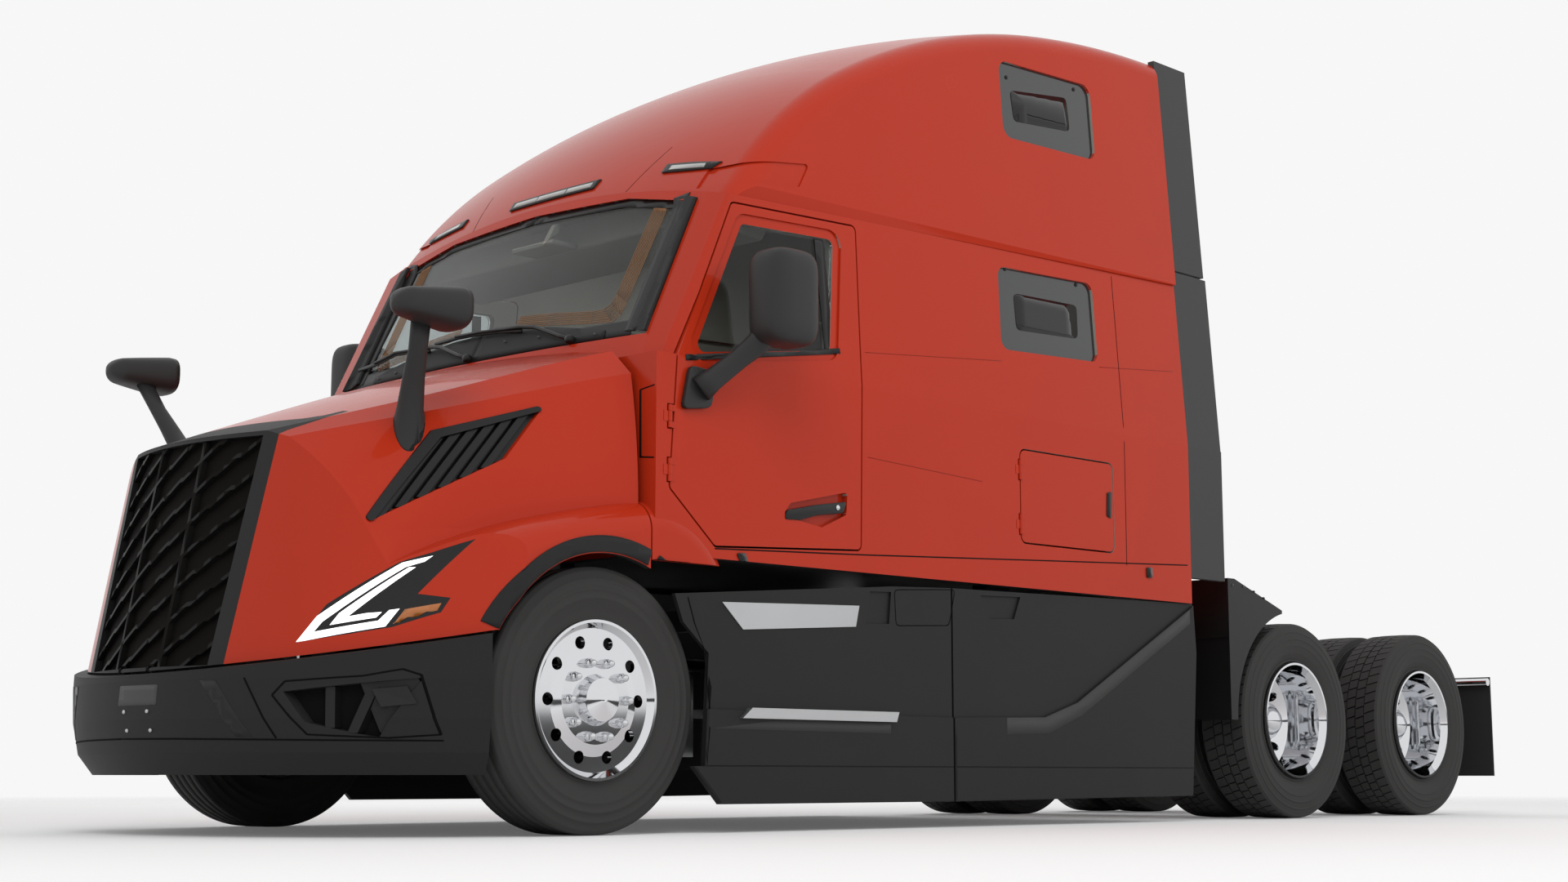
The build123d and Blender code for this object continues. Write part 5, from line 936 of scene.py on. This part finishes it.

# %% [markdown]
# Gaps between fixed panels show as fine dark lines. They could be cut into the shell, but a line this
# thin needs only its colour, so it is laid on the panel as a strip half a millimetre proud.

# %% Panel seams, painted crease shade and painted cowl slot shade on the cab
SEAMS = [band([(3.283, 1.215), (3.286, 2.64)], 0.004),
         band([(0.56, 1.101), (1.418, 1.136), (2.64, 1.195), (3.79, 1.25)], 0.006)]
# Darker red lines along the sleeper's folds are painted shade of each crease
CREASE_SHADES = [band([(1.452, 2.006), (2.38, 2.093)], 0.003), band([(3.125, 2.162), (3.747, 2.221)], 0.003),
           band([(1.452, 1.553), (1.85, 1.536), (2.208, 1.52)], 0.003)]
# Dark bands down the front edge and along the foot and top of the cowl slot are painted shade of its recess
COWL_SLOT_SHADE = [band([(1.124, 1.706), (1.128, 1.44)], 0.011), band([(1.126, 1.441), (1.205, 1.432)], 0.006),
        band([(1.124, 1.706), (1.205, 1.716)], 0.005)]
ROCKER_LAMPS = [[(0.682, 1.035), (0.682, 1.092), (0.726, 1.094), (0.726, 1.037)],
                [(3.44, 1.166), (3.44, 1.216), (3.482, 1.218), (3.482, 1.168)]]
trim("cab_seams", SEAMS, "side", "cab_shell", "seam", 0.0006, 0.002, 0.1)
trim("cab_crease_shades", CREASE_SHADES, "side", "cab_shell", "crease_shade", 0.0005, 0.002, 0.1)
trim("cowl_slot_shade_lines", COWL_SLOT_SHADE, "front", "cab_shell", "seam", 0.001, 0.002, 0.1)
trim("rocker_lamps", [rounded(o, 0.008) for o in ROCKER_LAMPS], "side", "cab_shell", "lamp", 0.008, 0.004)

# %% [markdown]
# Sleeper windows are dark fixed panes with a second pane let into the middle and two press studs at the
# top. The inner pane is laid on as a plate with a higher gloss, which shows its outline in any light.

# %% Sleeper window panes
LOWER_PANE = [(2.52, 2.436), (3.0, 2.45), (2.99, 2.285), (2.525, 2.262)]
UPPER_PANE = [(2.59, 3.44), (3.03, 3.5), (3.04, 3.33), (2.605, 3.29)]
PANE_STUDS = [(2.47, 2.545), (3.01, 2.555), (2.57, 3.5), (3.1, 3.56)]
trim("sleeper_inner_panes", [rounded(pane, 0.03) for pane in (LOWER_PANE, UPPER_PANE)], "side",
     "sleeper_windows", "gloss", 0.0025, 0.002, 0.1)
studs("sleeper_pane_studs", PANE_STUDS, "side", "sleeper_windows", "trim_black", 0.01, 0.006)

# %% [markdown]
# The door has a black strip at the foot of its window, a black post behind the glass and a pull handle
# with its lock over the scooped recess. They ride with the door, so each side gets its own copy.

# %% Door strips, handles and latches
BELT = [(0.398, 1.842), (1.29, 1.99)]
POST = [(1.214, 2.468), (1.24, 1.99)]
HANDLE = [(0.95, 1.248), (0.958, 1.286), (1.14, 1.324), (1.318, 1.352), (1.3, 1.302), (1.14, 1.28),
          (1.04, 1.252)]
LOCK = [(1.262 + u, 1.322 + v) for u, v in circle(16, 0.011)]
LATCH = [(3.128, 1.44), (3.16, 1.43), (3.166, 1.56), (3.134, 1.552)]
DOOR = {"body": "cab_door_", "both": "pair"}
trim("door_belt_strip", [band(BELT, 0.024)], "side", "door_left door_glass_left", "trim_black", 0.004, 0.003,
     **DOOR)
trim("door_window_post", [band(POST, 0.055)], "side", "door_glass_left", "trim_black", 0.003, 0.001, **DOOR)
handle_x = cast_points([(0.9, 1.3)], "side", "door_left", 0.0)[0].x
slabs("door_handle", [(rounded(HANDLE, 0.015), "x", handle_x - 0.016, handle_x + 0.006, 0.004)],
      "trim_black", **DOOR)
slabs("door_lock", [(LOCK, "x", handle_x + 0.005, handle_x + 0.009, 0.0015)], "chrome", **DOOR)
trim("baggage_latch", [rounded(LATCH, 0.008)], "side", "baggage_door_left", "trim_black", 0.005, 0.004,
     body="baggage_hatch_", both="pair")

# %% [markdown]
# The bumper is one dark moulding whose parts show by grooves and by changes of gloss: a plate with four
# bolts, a darker slanting stripe, grooves round the vent, a lamp block and the seam above the lower lip.

# %% Bumper details
PLATE = [(0.006, 0.545), (0.232, 0.545), (0.222, 0.472), (-0.01, 0.472)]
PLATE_BOLTS = [(0.033, 0.45), (0.176, 0.45), (0.046, 0.382), (0.188, 0.382)]
STRIPE = [(0.431, 0.556), (0.495, 0.557), (0.623, 0.356), (0.566, 0.356)]
VENT_RIM = [(0.7, 0.5), (0.742, 0.548), (0.959, 0.566), (1.05, 0.59), (1.09, 0.57), (1.112, 0.43),
            (1.118, 0.362), (1.01, 0.35), (0.8, 0.362)]
LIP_SEAM = [(0.0, 0.352), (0.3, 0.35), (0.596, 0.346), (0.9, 0.342), (1.12, 0.341)]
CORNER_SEAM = [(0.605, 0.562), (0.703, 0.35)]
GROOVE_WIDTH = 0.006
# The floor of the vent's recess beside its mouth, and the lamp on it.  columns: x, station, z
RECESS = [(0.945, -0.905, 0.548), (1.046, -0.801, 0.572), (1.084, -0.752, 0.556), (1.108, -0.706, 0.42),
          (1.116, -0.68, 0.358), (1.006, -0.822, 0.352), (0.985, -0.842, 0.372)]
LAMP_BLOCK = [(0.978, -0.876, 0.52), (1.062, -0.786, 0.53), (1.084, -0.756, 0.47), (1.002, -0.852, 0.458)]
OUTWARD = Vector((0.74, -0.67, 0.0))


def plate(name, points, front, back, look):
    """A solid plate from points in space, grown both ways along the bumper's outward direction."""
    bm = bmesh.new()
    join_rings(bm, [[bm.verts.new(spot(*p) + OUTWARD * away) for p in points] for away in (front, -back)])
    settle(name, bm, "chassis", look, smooth=False)


trim("bumper_plate", [rounded(PLATE, 0.008)], "front", "bumper", "edge", 0.0006, 0.003, both=False)
studs("bumper_bolts", PLATE_BOLTS, "front", "bumper", "alloy", 0.0075, 0.006, both=False)
trim("bumper_stripes", [STRIPE], "front", "bumper", "trim_black", 0.0015, 0.003)
trim("bumper_grooves", [band(LIP_SEAM, GROOVE_WIDTH), band(CORNER_SEAM, GROOVE_WIDTH),
                        *frame_of(VENT_RIM, GROOVE_WIDTH)], "front", "bumper", "mouth", 0.0016, 0.002, 0.03)
plate("bumper_recess_floor", RECESS, -0.004, 0.016, "trim_grey")
plate("bumper_lamp_block", LAMP_BLOCK, 0.002, 0.012, "lamp")

# %% [markdown]
# The skirts carry step covers, grip pockets, bevels and a few grooves. Steps and pockets are solid in
# the drawing, so only the grooves, pale bands of painted highlight on the lit bevels and the rivets of
# the panel behind are added here.

# %% Skirt grooves, painted bevel highlights and panel rivets
COVER = [(1.613, 1.001), (1.622, 0.849), (1.971, 0.866), (2.013, 1.025)]
FOLD = [(0.409, 0.902), (0.535, 0.559), (0.503, 0.263)]
# Pale bands along the skirt ledges are painted highlight where each ledge faces up into the light
FRONT_BEVEL_HIGHLIGHT = [(0.548, 0.4), (0.56, 0.474), (1.982, 0.466), (1.982, 0.392)]
REAR_BEVEL_HIGHLIGHT = [(1.998, 0.392), (1.998, 0.466), (2.625, 0.481), (2.872, 0.553), (3.8, 1.03), (3.8, 0.962),
              (2.905, 0.497), (2.65, 0.41)]
RIVETS = [(station, 1.18) for station in (4.24, 4.34, 4.44, 4.54)]
trim("skirt_grooves", [*frame_of(rounded(COVER, 0.02, 2), 0.004), band(FOLD, 0.006)], "side", "side_skirts",
     "mouth", 0.0008, 0.002, 0.1)
trim("skirt_bevel_highlights", [FRONT_BEVEL_HIGHLIGHT, REAR_BEVEL_HIGHLIGHT], "side", "side_skirts", "panel", 0.0006, 0.002, 0.5)
studs("panel_rivets", RIVETS, "side", "quarter_fenders", "edge", 0.008, 0.004)

# %% [markdown]
# Mirror housings are blown plastic, round all over but flat at the back. A box with bevelled edges would
# keep its facets, so each is skinned over rings whose size follows one smooth curve from end to end.

# %% Mirror housings, arms and glasses


def skin(bm, rings, power, sides=28):
    """Skins rings given as centre and two half axes. A power over 2 squares them."""
    def bend(c):
        return math.copysign(abs(c) ** (2 / power), c)

    join_rings(bm, [[bm.verts.new(centre + u * bend(c) + v * bend(s)) for c, s in circle(sides)]
                    for centre, u, v in rings])


# Door mirror
HOUSING_MID = (1.435, 0.725)
HOUSING_HALF = (0.1075, 0.131)
HOUSING_Z = (1.901, 2.289)
MIRROR_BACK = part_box("mirror_left")[1].y - AXLE_Y
FOOT = [(0.365, 1.632), (0.52, 1.652), (0.545, 1.8), (0.405, 1.812)]
FOOT_X = 1.217
FOOT_THICK = 0.026
ARM_LINE = [(1.236, 0.455, 1.722), (1.262, 0.5, 1.76), (1.32, 0.585, 1.845), (1.362, 0.64, 1.905),
            (1.395, 0.668, 1.96)]
ARM_HALF = [(0.058, 0.05), (0.046, 0.036), (0.042, 0.031), (0.048, 0.034), (0.056, 0.04)]
HOUSING_RINGS = 25
GLASS_X = (1.366, 1.504)
GLASSES_Z = [(2.05, 2.225), (1.965, 2.038)]
bm = bmesh.new()
rings = []
for k in range(HOUSING_RINGS):
    u = math.sin(math.pi * (k / (HOUSING_RINGS - 1) - 0.5)) * 0.9995
    size = (1 - abs(u) ** 6) ** (1 / 4.5)
    middle = (HOUSING_Z[0] + HOUSING_Z[1]) / 2 + u * (HOUSING_Z[1] - HOUSING_Z[0]) / 2
    rings.append((spot(*HOUSING_MID, middle), X * HOUSING_HALF[0] * size, Y * HOUSING_HALF[1] * size))
skin(bm, rings, power=3.4, sides=40)
for vert in bm.verts:
    vert.co.y = min(vert.co.y, AXLE_Y + MIRROR_BACK)
run = (Vector(ARM_LINE[-1]) - Vector(ARM_LINE[0])).normalized()
upright = X.cross(run).normalized()
skin(bm, [(spot(*p), run.cross(upright) * b, upright * a) for p, (a, b) in zip(ARM_LINE, ARM_HALF)],
     power=2.4)
slab(bm, rounded(FOOT, 0.03), "x", FOOT_X, FOOT_X + FOOT_THICK, 0.007, 3)
housings = settle("mirror_housing", bm, "cab_door_", "housing", both="pair")
for piece, (side_name, _) in zip(housings, SIDES):
    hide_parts("mirror_" + side_name)
rows = []
for low_z, high_z in GLASSES_Z:
    glass = box_of(GLASS_X[0], GLASS_X[1], low_z, high_z)
    rows.append((rounded(glass, 0.02), "y", MIRROR_BACK - 0.004, MIRROR_BACK + 0.002, 0.001))
slabs("mirror_glasses", rows, "chrome", **DOOR)

# Hood mirror
HEAD_MID = (1.01, 1.915)
HEAD_FROM, HEAD_TO = -0.85, -0.572
HEAD_HALF = (0.116, 0.083)
STEM = [((0.775, -0.596), (0.056, 0.06), None), ((0.777, -0.597), (0.052, 0.056), None),
        ((0.795, -0.608), (0.044, 0.052), 0.12), ((0.848, -0.636), (0.034, 0.045), 0.38),
        ((0.915, -0.668), (0.026, 0.038), 0.68), ((0.975, -0.7), (0.028, 0.04), 1.0)]
STEM_TOP = 1.872
HEAD_RINGS = 19
GLASS_SHARE = 0.8
OVER_HOOD = 6.0
bm = bmesh.new()
rings = []
for k in range(HEAD_RINGS):
    t = (k / (HEAD_RINGS - 1)) ** 1.5
    size = (0.5 + 0.5 * t ** 0.8) * max(1 - (1 - min(t / 0.2, 1)) ** 2, 0.0005) ** 0.5
    size *= 1 - 0.05 * max(t - 0.94, 0) / 0.06
    middle = spot(HEAD_MID[0], HEAD_FROM + (HEAD_TO - HEAD_FROM) * t, HEAD_MID[1])
    rings.append((middle, X * HEAD_HALF[0] * size, Z * HEAD_HALF[1] * size))
skin(bm, rings, power=2.9, sides=36)
hood_top = surface_of("hood_shell")
foot_z = hood_top.ray_cast(spot(*STEM[0][0], OVER_HOOD), -Z)[0].z
rings = []
for number, ((x, station), (half_x, half_y), share) in enumerate(STEM):
    z = foot_z + 0.01 * number if share is None else foot_z + (STEM_TOP - foot_z) * share
    rings.append((spot(x, station, z), X * half_x, Y * half_y))
skin(bm, rings, power=2.2)
for vert in bm.verts:
    if vert.co.z < rings[1][0].z + 0.001:
        under = hood_top.ray_cast(Vector((vert.co.x, vert.co.y, OVER_HOOD)), -Z)[0]
        lift = vert.co.z - rings[0][0].z
        vert.co.z = (under.z if under else vert.co.z) + lift - 0.003
for piece in settle("hood_mirror_housings", bm, "hood", "housing"):
    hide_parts("hood_mirrors")
bm = bmesh.new()
skin(bm, [(spot(HEAD_MID[0], HEAD_TO + dy, HEAD_MID[1]), X * HEAD_HALF[0] * GLASS_SHARE,
           Z * HEAD_HALF[1] * GLASS_SHARE) for dy in (-0.004, 0.0015)], power=2.5, sides=36)
settle("hood_mirror_glasses", bm, "hood", "chrome")

# %% [markdown]
# Each stop lamp is a plain block in the drawing; two raised round lenses make it read as a lamp.

# %% Tail lamp lenses
LENS_X = (0.217, 0.293)
LENS_Z = 0.84
LENS_RADIUS = 0.03
low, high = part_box("tail_lamps")
tail = high.y - AXLE_Y
slabs("tail_lamp_lenses", [([(x + u, LENS_Z + v) for u, v in circle(24, LENS_RADIUS)], "y", tail - 0.004,
                            tail + 0.006, 0.003) for x in LENS_X], "lamp_red")

# %% [markdown]
# A cushion's shape comes from its stuffing pressing on a cover held by seams. It could be drawn as a
# rounded block, but blowing a soft box up in a cloth simulation gives the crown and the pinched seams.

# %% Blown-up cushions
CUSHION_CUTS = 13
CUSHION_FRAMES = 22
SQUARED = 7
FLATTER = (0.97, 0.97, 0.8)
CLOTH = {"quality": 5, "mass": 0.3, "tension_stiffness": 8.0, "compression_stiffness": 8.0,
         "bending_stiffness": 0.4, "use_pressure": True, "vertex_group_mass": "held"}


def blown(name, size, tucks=(), pressure=9.0):
    """A soft box of that size, crowned by pressure. tucks are places along its length held by a seam."""
    bm = bmesh.new()
    bmesh.ops.create_cube(bm, size=2.0)
    bmesh.ops.subdivide_edges(bm, edges=bm.edges[:], cuts=CUSHION_CUTS, use_grid_fill=True)
    half = Vector(size) / 2
    for vert in bm.verts:
        round_by = sum(abs(c) ** SQUARED for c in vert.co) ** (1 / SQUARED)
        vert.co = Vector([vert.co[k] / round_by * half[k] * FLATTER[k] for k in range(3)])
    mesh = bpy.data.meshes.new(name + "_rest")
    bm.to_mesh(mesh)
    bm.free()
    soft = put(name + "_rest", mesh)
    held = soft.vertex_groups.new(name="held")
    cell = 2 * half.y / (CUSHION_CUTS + 1)
    for vert in mesh.vertices:
        out = max(abs(vert.co.x) / half.x, abs(vert.co.y) / half.y)
        on_seam = abs(vert.co.z) < half.z * 0.1 and out > 0.9
        on_tuck = any(abs(vert.co.y - t * half.y) < cell * 0.5 for t in tucks)
        if vert.co.z < -half.z * 0.5 or on_seam or on_tuck:
            held.add([vert.index], 1.0, "REPLACE")
    cloth = soft.modifiers.new("cloth", "CLOTH")
    for key, value in CLOTH.items():
        setattr(cloth.settings, key, value)
    cloth.settings.uniform_pressure_force = pressure
    cloth.settings.effector_weights.gravity = 0.0
    cloth.point_cache.frame_end = CUSHION_FRAMES
    for number in range(1, CUSHION_FRAMES + 1):
        bpy.context.scene.frame_set(number)
    graph = bpy.context.evaluated_depsgraph_get()
    points = [v.co.copy() for v in soft.evaluated_get(graph).data.vertices]
    faces = [list(p.vertices) for p in mesh.polygons]
    bpy.data.objects.remove(soft)
    bpy.context.scene.frame_set(1)
    ends = [(min(p[k] for p in points), max(p[k] for p in points)) for k in range(3)]
    fitted = [Vector([(p[k] - (a + b) / 2) * size[k] / (b - a) for k, (a, b) in enumerate(ends)])
              for p in points]
    print(name, "points", len(points), "grew", [round(b - a, 3) for a, b in ends])
    return fitted, faces


def lay(name, shapes, look, fill, *nodes):
    """Makes one piece of blown shapes. shapes: points and faces, matrix. fill: how firm it is; not used."""
    bm = bmesh.new()
    for (points, faces), matrix in shapes:
        verts = [bm.verts.new(matrix @ p) for p in points]
        for face in faces:
            bm.faces.new([verts[k] for k in face])
    bmesh.ops.recalc_face_normals(bm, faces=bm.faces[:])
    piece = add_piece(name, bm, "chassis", look)
    for node in nodes:
        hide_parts(node)


# %% [markdown]
# A driver's seat is a cushion, a tall back, a head rest and two arm rests on a sprung pedestal. Each
# cushion is blown once and laid twice, which keeps driver's and passenger's alike.

# %% Seats
SEAT_X = 0.56
SEAT_MID = 1.335
# Middles of the cushions.  columns: station, z
SQUAB_AT, BACK_AT, HEAD_AT, REST_AT = (SEAT_MID, 1.622), (1.64, 1.965), (1.64, 2.272), (1.44, 1.8)
REST_OUT = 0.225
squab = blown("squab", (0.5, 0.5, 0.15), tucks=(-0.43,))
seat_back = blown("back", (0.48, 0.56, 0.14), tucks=(-0.43, 0.14))
head = blown("head", (0.3, 0.16, 0.11))
rest = blown("rest", (0.06, 0.3, 0.06))
stood_up = Matrix.Rotation(math.radians(90), 4, "X")
for side_name, sign in SIDES:
    x = sign * SEAT_X
    lay("seat_cushions_" + side_name, [
        (squab, Matrix.Translation(spot(x, *SQUAB_AT))),
        (seat_back, Matrix.Translation(spot(x, *BACK_AT)) @ stood_up),
        (head, Matrix.Translation(spot(x, *HEAD_AT)) @ stood_up)], "seat_fabric", 0.8, "seats")
    lay("seat_arm_rests_" + side_name, [(rest, Matrix.Translation(spot(x + out, *REST_AT)))
                                        for out in (-REST_OUT, REST_OUT)], "interior", 0.9)
# Seat pan and back shell, then the bellows of the pedestal.  columns: foot, top, half width
PAN = [(1.1, 1.535), (1.7, 1.535), (1.7, 1.575), (1.1, 1.56)]
BACK_SHELL = [(1.675, 1.6), (1.706, 1.6), (1.706, 2.2), (1.675, 2.2)]
BELLOWS = [(1.227, 1.262, 0.19), (1.27, 1.33, 0.15), (1.336, 1.396, 0.15), (1.402, 1.462, 0.15),
           (1.468, 1.528, 0.17)]
rows = [(outline, "x", SEAT_X - half, SEAT_X + half, 0.012)
        for outline, half in ((PAN, 0.235), (BACK_SHELL, 0.2))]
for foot, top, half in BELLOWS:
    fold = [(SEAT_X + u * half, SEAT_MID + v * half) for u, v in SQUARE_CORNERS]
    rows.append((rounded(fold, 0.05), "z", foot, top, 0.014))
for piece in slabs("seat_pedestals", rows, "trim_black"):
    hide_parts("seats")

# %% Mattress
low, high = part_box("mattress")
mattress = blown("mattress", high - low, tucks=(-0.43, 0.0, 0.43), pressure=6.0)
lay("mattress_cover", [(mattress, Matrix.Translation((low + high) / 2))], "seat_fabric", 0.85, "mattress")

# %% [markdown]
# Through the glass the cab has to look lived in: a shelf over the screen with a camera bracket, an
# instrument hood and screens on the dash, door cards with an arm rest, and a cabinet behind the door.

# %% Cab fittings
SHELF = [(0.72, 2.5), (1.08, 2.47), (1.12, 2.53), (1.12, 2.64), (0.76, 2.64)]
CABINET = [(1.7, 1.24), (2.05, 1.24), (2.05, 2.4), (1.76, 2.4), (1.7, 2.25)]
BRACKET = [(0.56, 2.505), (0.64, 2.56), (0.655, 2.61), (0.62, 2.6)]
CAMERA_BAR = [(0.575, 2.5), (0.72, 2.5), (0.72, 2.524), (0.58, 2.524)]
INSTRUMENT_HOOD = [(0.48, 1.9), (0.745, 1.78), (0.76, 1.88), (0.56, 1.958)]
MIDDLE_PANEL = [(0.735, 1.56), (0.775, 1.57), (0.775, 1.86), (0.735, 1.88)]
STEERING_COLUMN = [(0.56, 1.7), (0.86, 1.86), (0.88, 1.835), (0.59, 1.66)]
MIDDLE_SCREEN = [(0.7745, 1.69), (0.779, 1.69), (0.779, 1.84), (0.7745, 1.84)]
DRIVER_SCREEN = [(0.748, 1.8), (0.7525, 1.8), (0.76, 1.865), (0.7555, 1.868)]
# columns: name, finish, then its slabs as outline, near, far, edge
FITTINGS = [
    ("cab_cabinets", "interior", [(SHELF, -0.96, 0.96, 0.015), (CABINET, 0.82, 1.11, 0.012),
                                  (CABINET, -1.11, -0.82, 0.012)]),
    ("camera_bracket", "interior", [(BRACKET, 0.12, 0.15, 0.006), (CAMERA_BAR, -0.1, 0.18, 0.006)]),
    ("dash_details", "trim_black", [(INSTRUMENT_HOOD, 0.3, 0.82, 0.018), (MIDDLE_PANEL, -0.26, 0.22, 0.014),
                                    (STEERING_COLUMN, 0.53, 0.59, 0.01)]),
    ("dash_screens", "lamp", [(MIDDLE_SCREEN, -0.22, 0.03, 0.001), (DRIVER_SCREEN, 0.4, 0.72, 0.001)]),
]
for name, look, rows in FITTINGS:
    slabs(name, [(row[0], "x", *row[1:]) for row in rows], look, both=False)
CARD = rounded([(0.48, 1.3), (1.34, 1.33), (1.34, 1.78), (0.48, 1.7)], 0.06)
ARM_REST = rounded([(0.7, 1.56), (1.28, 1.58), (1.28, 1.64), (0.7, 1.62)], 0.02)
trim("door_card", [CARD], "cabin", "door_left", "trim_grey", 0.01, 0.002, **DOOR)
trim("door_arm_rest", [ARM_REST], "cabin", "door_left", "interior", 0.05, 0.002, **DOOR)
